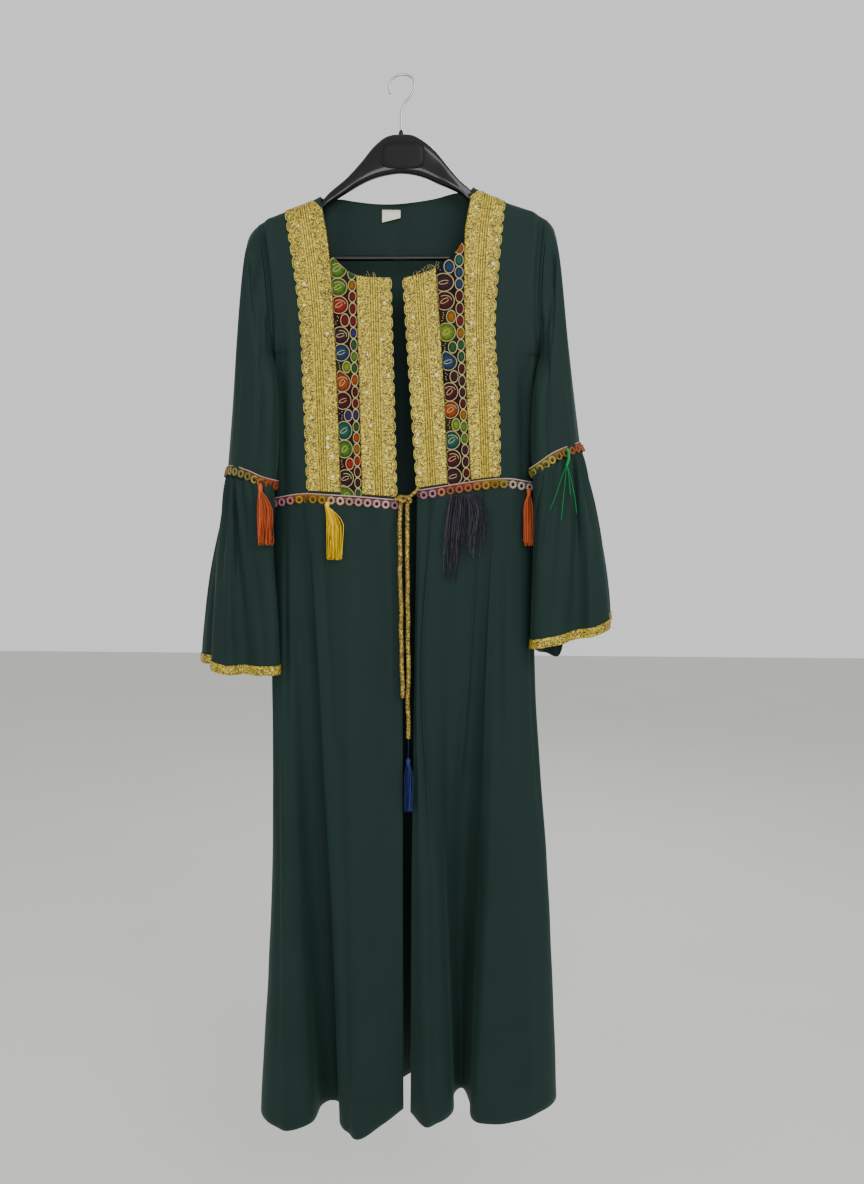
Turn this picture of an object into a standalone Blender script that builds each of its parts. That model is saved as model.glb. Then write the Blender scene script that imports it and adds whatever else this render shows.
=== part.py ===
"""An abaya hanging on a clothes hanger, with braid bands, trims, tassels and a tie.

Sizes are in millimetres and become metres when a mesh is made. X runs to the viewer's right,
Y away from the viewer and Z up. The origin is the inner top of the hanger's hook.
"Left" and "right" are the viewer's.
"""

import math
from collections import namedtuple

import bmesh
import bpy
import numpy as np
from mathutils import Vector

MM = 0.001

# Driving sizes
CLOTH = 1.5
SEAM_GAP = 0.3
WAIST_GAP = 0.8
ARMHOLE_GAP = 0.8
LIFT = 0.75
BAND_LIFT = 1.1
INSERT_LIFT = 1.75
WAIST_LIFT = 1.35
ELBOW_LIFT = 0.65
BAND_THICK = 1.5
TRIM_THICK = 2.0
TRIM_TALL = 15.0
SCALLOP_PITCH = 18.5
SCALLOP_DEPTH = 3.6
LOOP_PITCH = 13.0
LOOP_DEPTH = 3.0
BRAID_TALL = 14.0
BAND_START = 0.16
CORD_THICK = 7.0
LABEL = ((-29.0, -178.0, -196.0), (-2.0, -178.0, -189.0))
LABEL_THICK = 1.0
DEPTH_FRONT = 27.0
DEPTH_BACK = 27.0
SIDE_TURN = 52.0
SHOULDER_TURN = 24.0
HIP_Z = -860.0
KNEE_Z = -1200.0
HEM_Z = -1568.0
UNDERARM_Z = -392.0
CORNER_Z = -240.0

# The garment's outline. Each row is a height and where the edge stands there.
LEFT_SIDE = ((-610.0, -190.0), (-520.0, -190.0), (-455.0, -189.0), (UNDERARM_Z, -186.0))
LEFT_ARMHOLE = ((UNDERARM_Z, -186.0), (-330.0, -190.0), (-265.0, -196.0), (-208.0, -204.0))
RIGHT_SIDE = ((-610.0, 202.0), (-520.0, 200.0), (-455.0, 199.0), (UNDERARM_Z, 203.0))
RIGHT_ARMHOLE = ((UNDERARM_Z, 203.0), (-330.0, 202.0), (-260.0, 204.0), (-198.0, 210.0))
# Shoulder lines and the waist seam. Each row is a place across and the height there.
LEFT_SHOULDER = (
    (-204.0, -208.0), (-186.0, -197.5), (-165.0, -189.0), (-131.0, -175.5), (-116.0, -167.5),
)
RIGHT_SHOULDER = ((103.0, -152.5), (113.0, -158.0), (149.0, -173.0), (186.0, -185.5), (210.0, -198.0))
LEFT_WAIST = ((-190.0, -608.0), (-137.0, -600.0), (-3.0, -608.0))
RIGHT_WAIST = ((26.0, -594.0), (149.0, -575.5), (202.0, -581.5))
BACK_WAIST = ((-190.0, -608.0), (0.0, -600.0), (202.0, -581.5))
BACK_NECK = (
    (-116.0, -167.5), (-92.0, -164.0), (-69.0, -167.0), (-39.0, -170.0), (-10.0, -170.0),
    (19.0, -167.0), (49.0, -162.0), (79.0, -154.0), (103.0, -152.5),
)
# The low part of the front neckline, from the outer band to the front edge.
LEFT_NECK = ((-103.0, CORNER_Z), (-91.0, -262.0), (-65.0, -281.0), (-13.0, -285.0))
RIGHT_NECK = ((3.0, -286.0), (49.0, -271.0), (81.0, -246.0), (91.0, -226.0))

# Lines down each bodice front, as heights and places across: the edges of its bands.
Front = namedtuple("Front", "side armhole waist neck band_out band_in insert_in centre")
LEFT_FRONT = Front(
    LEFT_SIDE, LEFT_ARMHOLE, LEFT_WAIST, LEFT_NECK,
    ((-608.0, -135.0), (-454.0, -140.0), (-331.0, -146.0), (-190.0, -166.0)),
    ((-608.0, -85.0), (-361.0, -94.0), (CORNER_Z, -103.0), (-167.5, -116.0)),
    ((-600.0, -55.0), (-280.0, -64.0)),
    ((-600.0, -3.0), (-285.0, -13.0)),
)
RIGHT_FRONT = Front(
    RIGHT_SIDE, RIGHT_ARMHOLE, RIGHT_WAIST, RIGHT_NECK,
    ((-600.0, 149.0), (-467.0, 145.0), (-359.0, 137.0), (-268.0, 141.0), (-174.0, 149.0)),
    ((-600.0, 106.0), (-440.0, 96.0), (-226.0, 91.0), (-152.5, 103.0)),
    ((-600.0, 72.0), (-437.0, 64.0), (-270.0, 51.0)),
    ((-600.0, 26.0), (-453.0, 15.0), (-286.0, 3.0)),
)

# The skirt's section runs from the left front edge round the back to the right front edge.
# A row is one ridge, valley or wall of a fold, at the waist, hip, knee and hem.
Fold = namedtuple("Fold", "name waist_x hip_x hip_y knee_x knee_y hem_x hem_y drop")
LEFT_FOLDS = (
    Fold("front edge", -3, 6, -35, 9, -42, 12, -36, -16),
    Fold("soft fold", -26, -18, -35, -14, -46, -22, -56, -2),
    Fold("ridge", -58, -62, -38, -58, -54, -58, -72, 10),
    Fold("ridge edge", -128, -112, -34, -96, -46, -87, -47, 4),
    Fold("valley wall", -136, -123, -25, -104, -20, -91, -6, 0),
    Fold("valley", -146, -136, -20, -121, -10, -106, 4, 0),
    Fold("valley wall", -156, -148, -23, -137, -20, -121, -9, 0),
    Fold("side fold edge", -164, -160, -29, -150, -38, -131, -48, 0),
    Fold("side ridge", -175, -176, -27, -174, -44, -172, -62, 4),
    Fold("side turn", -186, -188, -15, -191, -26, -206, -40, 0),
    Fold("side seam", -190, -193, 0, -197, -2, -217, -8, 0),
)
BACK_FOLDS = (
    Fold("turn", -186, -188, 16, -191, 22, -206, 30, 0),
    Fold("ridge", -168, -167, 30, -166, 48, -170, 62, 0),
    Fold("valley", -138, -130, 25, -122, 36, -116, 48, 0),
    Fold("ridge", -96, -86, 34, -74, 56, -62, 80, 0),
    Fold("valley", -50, -42, 26, -28, 40, -10, 56, 0),
    Fold("ridge", -4, 4, 34, 20, 58, 38, 86, 0),
    Fold("valley", 44, 46, 27, 64, 48, 86, 70, 0),
    Fold("ridge", 92, 90, 35, 106, 62, 130, 90, 0),
    Fold("valley", 138, 134, 27, 148, 46, 172, 66, 0),
    Fold("ridge", 178, 176, 32, 194, 52, 212, 76, -6),
    Fold("turn", 198, 203, 17, 229, 30, 252, 52, -12),
)
RIGHT_FOLDS = (
    Fold("side seam", 202, 207, 0, 235, 6, 259, 22, -15),
    Fold("side turn", 198, 203, -16, 231, -20, 254, -12, -14),
    Fold("side ridge", 186, 188, -27, 206, -36, 224, -36, -11),
    Fold("ridge", 164, 160, -34, 166, -45, 166, -48, 0),
    Fold("ridge edge", 144, 137, -32, 132, -38, 121, -38, 0),
    Fold("valley wall", 136, 127, -24, 121, -12, 116, 4, 0),
    Fold("valley", 126, 114, -18, 102, 4, 107, 36, 0),
    Fold("valley wall", 112, 96, -21, 82, -8, 93, 22, 0),
    Fold("ridge edge", 60, 42, -34, 67, -40, 88, -24, 0),
    Fold("ridge", 42, 32, -36, 46, -50, 50, -56, 1),
    Fold("front edge", 26, 24, -33, 22, -40, 22, -33, -8),
)
FOLDS = LEFT_FOLDS + BACK_FOLDS + RIGHT_FOLDS
LEFT_SEAM = len(LEFT_FOLDS) - 1
RIGHT_SEAM = len(LEFT_FOLDS) + len(BACK_FOLDS)

# Small gathers below the waist seam: where along the folds, how deep, how far down.
Gather = namedtuple("Gather", "place depth reach")
GATHERS = (
    Gather(1.0, 2.4, 60), Gather(2.0, -2.6, 90), Gather(2.5, 2.6, 70), Gather(4.0, 1.8, 60),
    Gather(12.5, 2.2, 60), Gather(13.5, -2.0, 80), Gather(14.5, 2.4, 70), Gather(15.5, -2.2, 60),
    Gather(16.5, 2.4, 90), Gather(17.5, -2.0, 60), Gather(18.5, 2.2, 80), Gather(19.5, 2.4, 60),
    Gather(23.5, 1.8, 60), Gather(25.0, 2.4, 80), Gather(28.5, -2.6, 80), Gather(30.0, 2.6, 70),
    Gather(31.0, -2.2, 60),
)

# Rings down each upper sleeve below the armhole: the outer and inner ends, the depth before and
# behind, and how far the inner end stands forward of the side seams' plane.
Ring = namedtuple("Ring", "outer_x outer_z inner_x inner_z front back lean")
LEFT_RINGS = (
    Ring(-221, -224, -190, -402, 28, 28, 4),
    Ring(-228, -254, -189, -420, 30, 31, 14),
    Ring(-239, -360, -186, -462, 30, 34, 27),
    Ring(-248, -470, -186, -532, 27, 36, 35),
    Ring(-257, -566, -187, -582, 26, 36, 41),
)
RIGHT_RINGS = (
    Ring(223, -212, 207, -402, 28, 28, 4),
    Ring(230, -246, 206, -418, 30, 31, 14),
    Ring(243, -350, 203, -452, 30, 34, 27),
    Ring(257, -450, 201, -510, 27, 36, 34),
    Ring(268, -524, 201, -558, 26, 36, 38),
)
# How far each elbow trim rides up, by degrees round from the outer end over the front.
LEFT_RISE = (
    (0, 0.0), (35, 5.0), (65, 7.5), (90, 6.0), (130, 2.0), (180, 1.0), (270, 0.0), (360, 0.0),
)
RIGHT_RISE = ((0, 0.0), (60, 4.0), (100, 6.0), (140, 3.0), (180, 0.0), (270, 0.0), (360, 0.0))

# Folds round each flare's hem, from the outer end over the front and back round.
FlareFold = namedtuple("FlareFold", "name x y z")
LEFT_FLARE = (
    FlareFold("outer notch", -284, -12, -853),
    FlareFold("front corner", -277, -38, -856),
    FlareFold("front ridge", -252, -50, -860),
    FlareFold("front valley", -226, -42, -860),
    FlareFold("front ridge", -200, -54, -860),
    FlareFold("inner corner", -176, -47, -859),
    FlareFold("inner wall", -191, -26, -858),
    FlareFold("inner wall", -201, 4, -857),
    FlareFold("back ridge", -204, 30, -857),
    FlareFold("back valley", -222, 38, -856),
    FlareFold("back ridge", -244, 52, -855),
    FlareFold("back valley", -268, 40, -855),
    FlareFold("back ridge", -292, 46, -854),
    FlareFold("back corner", -307, 24, -853),
    FlareFold("outer wall", -298, 4, -853),
)
RIGHT_FLARE = (
    FlareFold("outer corner", 320, -14, -783),
    FlareFold("front corner", 310, -40, -789),
    FlareFold("front ridge", 286, -52, -798),
    FlareFold("front valley", 260, -42, -804),
    FlareFold("front ridge", 232, -54, -811),
    FlareFold("inner corner", 200, -46, -818),
    FlareFold("inner wall", 205, -28, -821),
    FlareFold("inner wall", 213, -4, -827),
    FlareFold("inner wall", 218, 22, -834),
    FlareFold("back ridge", 230, 44, -839),
    FlareFold("back point", 250, 46, -844),
    FlareFold("back edge", 260, 40, -812),
    FlareFold("back ridge", 288, 48, -798),
    FlareFold("back corner", 314, 32, -787),
    FlareFold("outer wall", 322, 10, -782),
)
FLARE_SPREAD = 1.6

# Where each free end of the tie hangs, read through a smooth curve.
LEFT_CORD_ROUTE = (
    (3.0, -38.5, -605.5), (1.5, -39.5, -630.0), (1.5, -40.5, -655.0), (2.5, -41.5, -682.0),
    (2.0, -42.5, -710.0), (3.5, -43.0, -738.0), (4.5, -43.5, -766.0), (4.0, -44.5, -794.0),
    (5.5, -45.0, -820.0), (5.5, -46.0, -846.0), (7.0, -46.5, -870.0), (7.0, -47.0, -893.0),
)
RIGHT_CORD_ROUTE = (
    (12.0, -39.0, -607.0), (12.5, -40.0, -630.0), (12.5, -40.5, -658.0), (12.5, -41.5, -688.0),
    (13.5, -42.5, -718.0), (13.5, -43.0, -748.0), (14.5, -44.0, -778.0), (14.0, -44.5, -808.0),
    (15.5, -45.5, -838.0), (15.5, -46.5, -868.0), (14.5, -47.0, -898.0), (16.0, -47.5, -927.0),
    (16.0, -48.0, -954.0),
)
CORD_STEP = 18.0
# The knot: the tie comes in from the left front's corner, over, and up to the right front's.
KNOT_ROUTE = (
    (-5.5, -34.2, -601.5), (2.5, -38.5, -598.5), (8.0, -39.5, -594.5), (14.0, -39.5, -597.0),
    (19.0, -38.5, -593.0), (28.0, -34.2, -584.5),
)
KNOT_STEP = 5.0
KNOT_CORE = (11.5, -40.0, -600.0)
KNOT_HALF = (8.0, 5.5, 6.4)

# Sections along the hanger, left end to right: top, bottom and half thickness.
Arm = namedtuple("Arm", "x top bottom half")
ARMS = (
    Arm(-198, -212, -226, 6), Arm(-192, -207, -229, 8), Arm(-160, -193, -216, 8.5),
    Arm(-126, -178.5, -199, 7), Arm(-114, -171.5, -185, 5), Arm(-103, -160.5, -175, 5),
    Arm(-89, -149.5, -167, 6.5), Arm(-77, -139.5, -160, 7.5), Arm(-58, -119, -149, 7.5),
    Arm(-40, -97.5, -141, 8), Arm(-21, -83, -136, 8), Arm(-2, -80, -133.5, 8),
    Arm(16, -81, -135, 8), Arm(34, -90.5, -139.5, 8), Arm(52, -106, -147, 7.5),
    Arm(68, -125, -153, 7.5), Arm(84, -142.5, -160, 6.5), Arm(95, -151, -168, 4),
    Arm(106, -159.5, -176, 4), Arm(120, -166.5, -187, 7), Arm(155, -180, -203, 8.5),
    Arm(192, -194.5, -217, 8), Arm(200, -200.5, -213, 6),
)
# The neck of the hook: place across, top, height, lower and upper radius.
NUB = (-1.0, -74.3, 16.0, 4.2, 2.8)
ARM_CORNER = 0.34
PLAQUE_HALF = (32.0, 19.0)
PLAQUE_THICK = 1.6
PLAQUE_AT = (1.5, -110.5)
PLAQUE_CORNERS = 28
BAR_THICK = 8.0
BAR_ROUTE = (
    (-176.0, -224.4), (-175.0, -239.0), (-168.0, -251.0), (-152.0, -253.0), (0.0, -251.25),
    (150.0, -249.5), (166.0, -247.5), (173.0, -235.5), (174.0, -212.0),
)
HOOK_WIRE = 3.5
HOOK_STEP = 8.0
HOOK_ROUTE = (
    (-1.0, -74.0), (-1.0, -60.0), (-0.8, -48.0), (4.0, -37.0), (12.5, -26.5), (18.0, -14.0),
    (15.5, -3.5), (8.5, 1.0), (0.0, 1.75), (-9.0, -0.5), (-15.5, -6.5), (-18.5, -15.0), (-17.0, -24.0),
)

# Tassels: a head, its half sizes, and how its strands fall.
Fan = namedtuple("Fan", "fall spread across deep thick lean forward uneven bell")
Tassel = namedtuple("Tassel", "name colour head half fan")
TASSELS = (
    Tassel(
        "tassel_yellow", "yellow", (-105, -35.4, -611), (4.4, 4.2, 6),
        Fan(80, 11, 6, 4, 2.2, 12, 2, 6, 0.7),
    ),
    Tassel(
        "tassel_orange_waist", "orange", (190, -29, -590), (5, 4.5, 8),
        Fan(78, 7, 5, 3, 2.0, 1, 4, 6, 0.8),
    ),
    Tassel(
        "tassel_orange_sleeve", "orange", (-197, -61.4, -588), (5, 4.5, 8),
        Fan(84, 10, 6, 3, 2.0, 6, 5, 8, 0.7),
    ),
    Tassel(
        "tassel_blue", "blue", (16, -48.5, -991), (4.6, 4.6, 7),
        Fan(76, 6.5, 4, 3, 1.7, 1, 0, 6, 0),
    ),
)
STEM_THICK = 2.6
STEM_TOP = (16.0, -48.2, -954.6)
BELL_DOWN = 0.35
# The charcoal one is two wispy bunches under one flat head.
CHARCOAL_HEAD = Tassel("tassel_charcoal", "charcoal", (98, -34.2, -595.5), (23, 4, 4.5), None)
BUNCH_LONG = ((86, -34.2, -595.5), (13, 4, 4), Fan(132, 9, 6, 2, 1.4, -3, 4, 30, 0.8))
BUNCH_SHORT = ((111, -34.2, -595.5), (13, 4, 4), Fan(98, 15, 6, 2, 1.4, 6, 4, 30, 0.8))
# The green one is a worn remnant: its loop, and four loose threads as root, tip, thickness and bell.
GREEN_HEAD = (241, -47.4, -546)
GREEN_HALF = (4.5, 3, 6)
GREEN_STRANDS = (
    ((239, -47.6, -550), (214, -56, -622), 1.3, 0.6),
    ((240, -47.6, -550), (234, -58, -628), 1.3, 0.6),
    ((242, -47.6, -550), (247, -54, -592), 1.5, 0.6),
    ((243, -47.6, -550), (256, -57, -618), 1.3, 0.7),
)

COLOURS = {
    "cloth": ((0.006, 0.030, 0.018), 0.62, 0.0),
    "gold_braid": ((0.50, 0.34, 0.06), 0.42, 0.7),
    "insert": ((0.10, 0.02, 0.02), 0.7, 0.0),
    "trim": ((0.45, 0.12, 0.10), 0.6, 0.1),
    "gold_cord": ((0.45, 0.30, 0.04), 0.45, 0.5),
    "yellow": ((0.85, 0.55, 0.01), 0.6, 0.0),
    "charcoal": ((0.03, 0.03, 0.035), 0.7, 0.0),
    "orange": ((0.80, 0.14, 0.02), 0.6, 0.0),
    "blue": ((0.01, 0.03, 0.30), 0.6, 0.0),
    "green": ((0.01, 0.35, 0.10), 0.6, 0.0),
    "label": ((0.80, 0.80, 0.78), 0.7, 0.0),
    "hanger": ((0.01, 0.01, 0.012), 0.25, 0.0),
    "steel": ((0.62, 0.62, 0.64), 0.25, 1.0),
}


def smooth(rows, at):
    """The value at a place along rows of (place, value), on a smooth curve through them."""
    places = [row[0] for row in rows]
    values = [np.asarray(row[1], dtype=float) for row in rows]
    last = len(rows) - 1
    at = min(max(at, places[0]), places[last])
    k = 0
    while k < last - 1 and at > places[k + 1]:
        k += 1

    def slope(i):
        before, after = max(i - 1, 0), min(i + 1, last)
        return (values[after] - values[before]) / (places[after] - places[before])

    step = places[k + 1] - places[k]
    f = (at - places[k]) / step
    return (
        values[k] * (2 * f**3 - 3 * f**2 + 1)
        + slope(k) * step * (f**3 - 2 * f**2 + f)
        + values[k + 1] * (3 * f**2 - 2 * f**3)
        + slope(k + 1) * step * (f**3 - f**2)
    )


def turn(share, power=2.4):
    """0 to 1 round a quarter of a superellipse: how far a flat panel has come round its edge."""
    share = min(max(share, 0.0), 1.0)
    return (1 - (1 - share) ** power) ** (1 / power)


def unit(v):
    return v / max(np.linalg.norm(v), 1e-9)


# Bodice surface

def edge_x(outline_side, armhole, z):
    rows = armhole if z > UNDERARM_Z else outline_side
    return float(smooth(rows, z))


def shoulder_z(x):
    """Height of the cloth's upper edge over the back: shoulders and neck."""
    if x < LEFT_SHOULDER[-1][0]:
        return float(smooth(LEFT_SHOULDER, x))
    if x > RIGHT_SHOULDER[0][0]:
        return float(smooth(RIGHT_SHOULDER, x))
    return float(smooth(BACK_NECK, x))


def depth_at(x, z, face):
    """How far the cloth stands from the side seams' plane, front (-1) or back (+1)."""
    full = (DEPTH_FRONT if face < 0 else DEPTH_BACK) * float(
        smooth(((-602.0, 1.0), (-400.0, 1.0), (-280.0, 0.92), (-160.0, 0.78)), z)
    )
    left = x - edge_x(LEFT_SIDE, LEFT_ARMHOLE, z)
    right = edge_x(RIGHT_SIDE, RIGHT_ARMHOLE, z) - x
    from_edge = turn(max(min(left, right), 0.0) / SIDE_TURN)
    lift = turn((z - UNDERARM_Z) / 80.0, 2.0) if z > UNDERARM_Z else 0.0
    over = turn((shoulder_z(x) - z) / SHOULDER_TURN)
    if face > 0:
        inside = min(x - LEFT_SHOULDER[-1][0], RIGHT_SHOULDER[0][0] - x)
        free = 0.85 * turn(inside / 22.0, 2.2) if inside > 0 else 0.0
        over = free + (1 - free) * over
    return full * over * (lift + (1 - lift) * from_edge)


def waist_depth(x, face):
    return face * depth_at(x, -600.0, face)


# Building walls

class Wall:
    """Outer points and outward normals of a panel's grid, and which cells it has."""

    def __init__(self, across, up, closed=False):
        self.across = across
        self.up = up
        self.closed = closed
        self.points = np.zeros((across, up, 3))
        self.normals = np.zeros((across, up, 3))
        self.cells = np.ones((across if closed else across - 1, up - 1), dtype=bool)

    def find_normals(self, towards):
        """Normals from the neighbours of each point, turned away from the line `towards` gives."""
        for i in range(self.across):
            for j in range(self.up):
                if self.closed:
                    a, b = self.points[i - 1, j], self.points[(i + 1) % self.across, j]
                else:
                    a, b = self.points[self.near(i - 1, j)], self.points[self.near(i + 1, j)]
                c, d = self.points[self.near(i, j - 1)], self.points[self.near(i, j + 1)]
                normal = unit(np.cross(b - a, d - c))
                away = self.points[i, j] - towards(self.points[i, j])
                self.normals[i, j] = normal if normal @ away > 0 else -normal

    def near(self, i, j):
        """The grid place, held inside the panel where part of the grid is left out."""
        i = i % self.across if self.closed else min(max(i, 0), self.across - 1)
        j = min(max(j, 0), self.up - 1)
        while not self.used(i, j):
            j -= 1
        return i, j

    def used(self, i, j):
        columns = {(i - 1) % len(self.cells), i % len(self.cells)} if self.closed else {
            k for k in (i - 1, i) if 0 <= k < len(self.cells)
        }
        rows = [k for k in (j - 1, j) if 0 <= k < self.up - 1]
        return any(self.cells[c, r] for c in columns for r in rows)

    def flatten(self, i, j, axis):
        """Takes one direction out of a normal, so that both rims of a seam lie in one plane."""
        normal = self.normals[i, j] - axis * (self.normals[i, j] @ axis)
        self.normals[i, j] = unit(normal)

    def at(self, i, j, out):
        """A point on the panel's own facets, moved outwards."""
        i0 = int(min(max(i, 0), self.across - (1 if self.closed else 1.001)))
        j0 = int(min(max(j, 0), self.up - 1.001))
        i1, j1 = (i0 + 1) % self.across, j0 + 1
        if not self.used(i0, j1):
            j1 = j0
        a, b = i - i0, j - j0
        corners = ((i0, j0, (1 - a) * (1 - b)), (i1, j0, a * (1 - b)))
        corners += ((i0, j1, (1 - a) * b), (i1, j1, a * b))
        point = sum(self.points[c, r] * w for c, r, w in corners)
        normal = unit(sum(self.normals[c, r] * w for c, r, w in corners))
        return point + normal * out, normal


def new_object(name, mesh, colour):
    obj = bpy.data.objects.new(name, mesh)
    bpy.data.collections["abaya"].objects.link(obj)
    if not mesh.materials:
        mesh.materials.append(material(colour))
    return obj


def material(name):
    if name in bpy.data.materials:
        return bpy.data.materials[name]
    colour, rough, metal = COLOURS[name]
    made = bpy.data.materials.new(name)
    made.use_nodes = True
    shader = made.node_tree.nodes["Principled BSDF"]
    shader.inputs["Base Color"].default_value = (*colour, 1.0)
    shader.inputs["Roughness"].default_value = rough
    shader.inputs["Metallic"].default_value = metal
    return made


def mesh_from(name, points, faces):
    mesh = bpy.data.meshes.new(name)
    mesh.from_pydata([Vector(p) * MM for p in points], [], faces)
    bm = bmesh.new()
    bm.from_mesh(mesh)
    bmesh.ops.recalc_face_normals(bm, faces=bm.faces)
    bm.to_mesh(mesh)
    bm.free()
    mesh.shade_smooth()
    mesh.set_sharp_from_angle(angle=math.radians(50))
    return mesh


def build_wall(name, wall, colour, thick=CLOTH):
    """A closed wall: the grid, the same grid moved inwards, and a rim round every free edge."""
    index, points = {}, []
    for layer, inward in ((0, 0.0), (1, thick)):
        for i in range(wall.across):
            for j in range(wall.up):
                if wall.used(i, j):
                    index[layer, i, j] = len(points)
                    points.append(wall.points[i, j] - wall.normals[i, j] * inward)
    faces, uses = [], {}
    for i, j in zip(*np.nonzero(wall.cells)):
        k = (i + 1) % wall.across
        loop = ((i, j), (k, j), (k, j + 1), (i, j + 1))
        faces.append([index[(0, *corner)] for corner in loop])
        faces.append([index[(1, *corner)] for corner in reversed(loop)])
        for edge in zip(loop, loop[1:] + loop[:1]):
            uses.setdefault(frozenset(edge), []).append(edge)
    for edges in uses.values():
        if len(edges) == 1:
            a, b = edges[0]
            faces.append([index[(0, *b)], index[(0, *a)], index[(1, *a)], index[(1, *b)]])
    return new_object(name, mesh_from(name, points, faces), colour)


def build_strip(name, pairs, colour, closed=False, thick=BAND_THICK):
    """A closed strip from rows of (low point, low normal, high point, high normal)."""
    strip = Wall(len(pairs), 2, closed)
    for i, (low, low_normal, high, high_normal) in enumerate(pairs):
        strip.points[i, 0], strip.points[i, 1] = low + low_normal * thick, high + high_normal * thick
        strip.normals[i, 0], strip.normals[i, 1] = low_normal, high_normal
    return build_wall(name, strip, colour, thick)


Y_AXIS = np.array((0.0, 1.0, 0.0))
Z_AXIS = np.array((0.0, 0.0, 1.0))


def armhole_point(front, face, z):
    x = float(smooth(front.armhole, z))
    return np.array((x, face * depth_at(x, z, face), z))


def armhole_normal(front, face, z):
    """Outward across the armhole seam, in the surface that the seam's loop lies on."""
    low, high = front.armhole[0][0], front.armhole[-1][0]
    step = 1.5
    if z >= high - 0.01:
        along = np.array((0.0, face, 0.0))
    elif z <= low + 0.01:
        along = np.array((0.0, -face, 0.0))
    else:
        a = armhole_point(front, face, max(z - step, low))
        b = armhole_point(front, face, min(z + step, high))
        along = unit(b - a)
        if z + step > high:
            along = unit(np.array((0.0, -face, 0.0)) + along)
    lean = float(smooth(front.armhole, min(z + 5, high)) - smooth(front.armhole, max(z - 5, low)))
    upright = unit(np.array((lean, 0.0, min(z + 5, high) - max(z - 5, low))))
    if z >= high - 0.01:
        return upright
    if z <= low + 0.01:
        return -upright
    across = np.cross(upright, Y_AXIS)
    normal = np.cross(along, across)
    return unit(normal if normal[1] * face > 0 else -normal)


# Row heights of a bodice panel: shares of the way up to the underarm, on to the neck, over the shoulder
LOW_ROWS = (0.0, 0.3, 0.6, 0.85, 1.0)
MID_ROWS = (0.12, 0.32, 0.6, 1.0)
TOP_ROWS = (0.4, 0.66, 0.82, 0.92, 0.98, 1.0)


def row_heights(waist, middle, top):
    low = [waist + (UNDERARM_Z - waist) * f for f in LOW_ROWS]
    mid = [UNDERARM_Z + (middle - UNDERARM_Z) * f for f in MID_ROWS]
    return low + mid + [middle + (top - middle) * f for f in TOP_ROWS]


NECK_ROW = len(LOW_ROWS) + len(MID_ROWS) - 1
UNDERARM_ROW = len(LOW_ROWS) - 1
SIDE_SHARES = (0.0, 0.07, 0.22, 0.5, 1.0)


def front_lines(front, z):
    """Where each column of a bodice front stands at one height, side to front edge."""
    side = edge_x(front.side, front.armhole, z)
    out, band, insert, centre = (
        float(smooth(rows, z)) for rows in (front.band_out, front.band_in, front.insert_in, front.centre)
    )
    columns = [side + (out - side) * f for f in SIDE_SHARES]
    return columns + [band, (band + insert) / 2, insert, centre]


BAND_OUT_COLUMN = len(SIDE_SHARES) - 1
BAND_IN_COLUMN = BAND_OUT_COLUMN + 1
INSERT_COLUMN = BAND_IN_COLUMN + 2
CENTRE_COLUMN = INSERT_COLUMN + 1


def neck_height(front, x):
    return float(smooth(front.neck, x))


def bodice_middle(point, face):
    """A place behind a front or back panel, level with a point or with the shoulders' foot."""
    return np.array((point[0] * 0.6, -face * 40.0, min(point[2], CORNER_Z)))


def front_panel(front):
    """The grid of one bodice front: full height outside the neckline, up to it inside."""
    wall = Wall(CENTRE_COLUMN + 1, NECK_ROW + 1 + len(TOP_ROWS))
    corner = front.band_in[2][0]
    for i in range(wall.across):
        inner = i > BAND_IN_COLUMN
        x = front_lines(front, corner)[i]
        for j in range(wall.up):
            for _ in range(4):
                middle = neck_height(front, x) if inner else corner
                waist = float(smooth(front.waist, x)) + WAIST_GAP / 2
                top = shoulder_z(x) if not inner else middle
                z = row_heights(waist, middle, top)[j]
                x = front_lines(front, z)[i]
            y = -depth_at(x, z, -1)
            wall.points[i, j] = (x, min(y, -SEAM_GAP / 2), z)
    wall.cells[BAND_IN_COLUMN:, NECK_ROW:] = False
    wall.find_normals(lambda p: bodice_middle(p, -1))
    finish_bodice(wall, front, -1, 0)
    return wall


def finish_bodice(wall, front, face, side_column):
    """Seam normals: side, armhole, shoulder and waist rims lie in planes their neighbours share."""
    for j in range(wall.up):
        z = wall.points[side_column, j][2]
        if j < UNDERARM_ROW:
            wall.flatten(side_column, j, Y_AXIS)
        else:
            wall.normals[side_column, j] = armhole_normal(front, face, z)
    for i in range(wall.across):
        wall.flatten(i, 0, Z_AXIS)
        x = wall.points[i, wall.up - 1][0]
        if x < LEFT_SHOULDER[-1][0] + 0.5 or x > RIGHT_SHOULDER[0][0] - 0.5:
            if wall.used(i, wall.up - 1) and i != side_column:
                wall.flatten(i, wall.up - 1, Y_AXIS)


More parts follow.
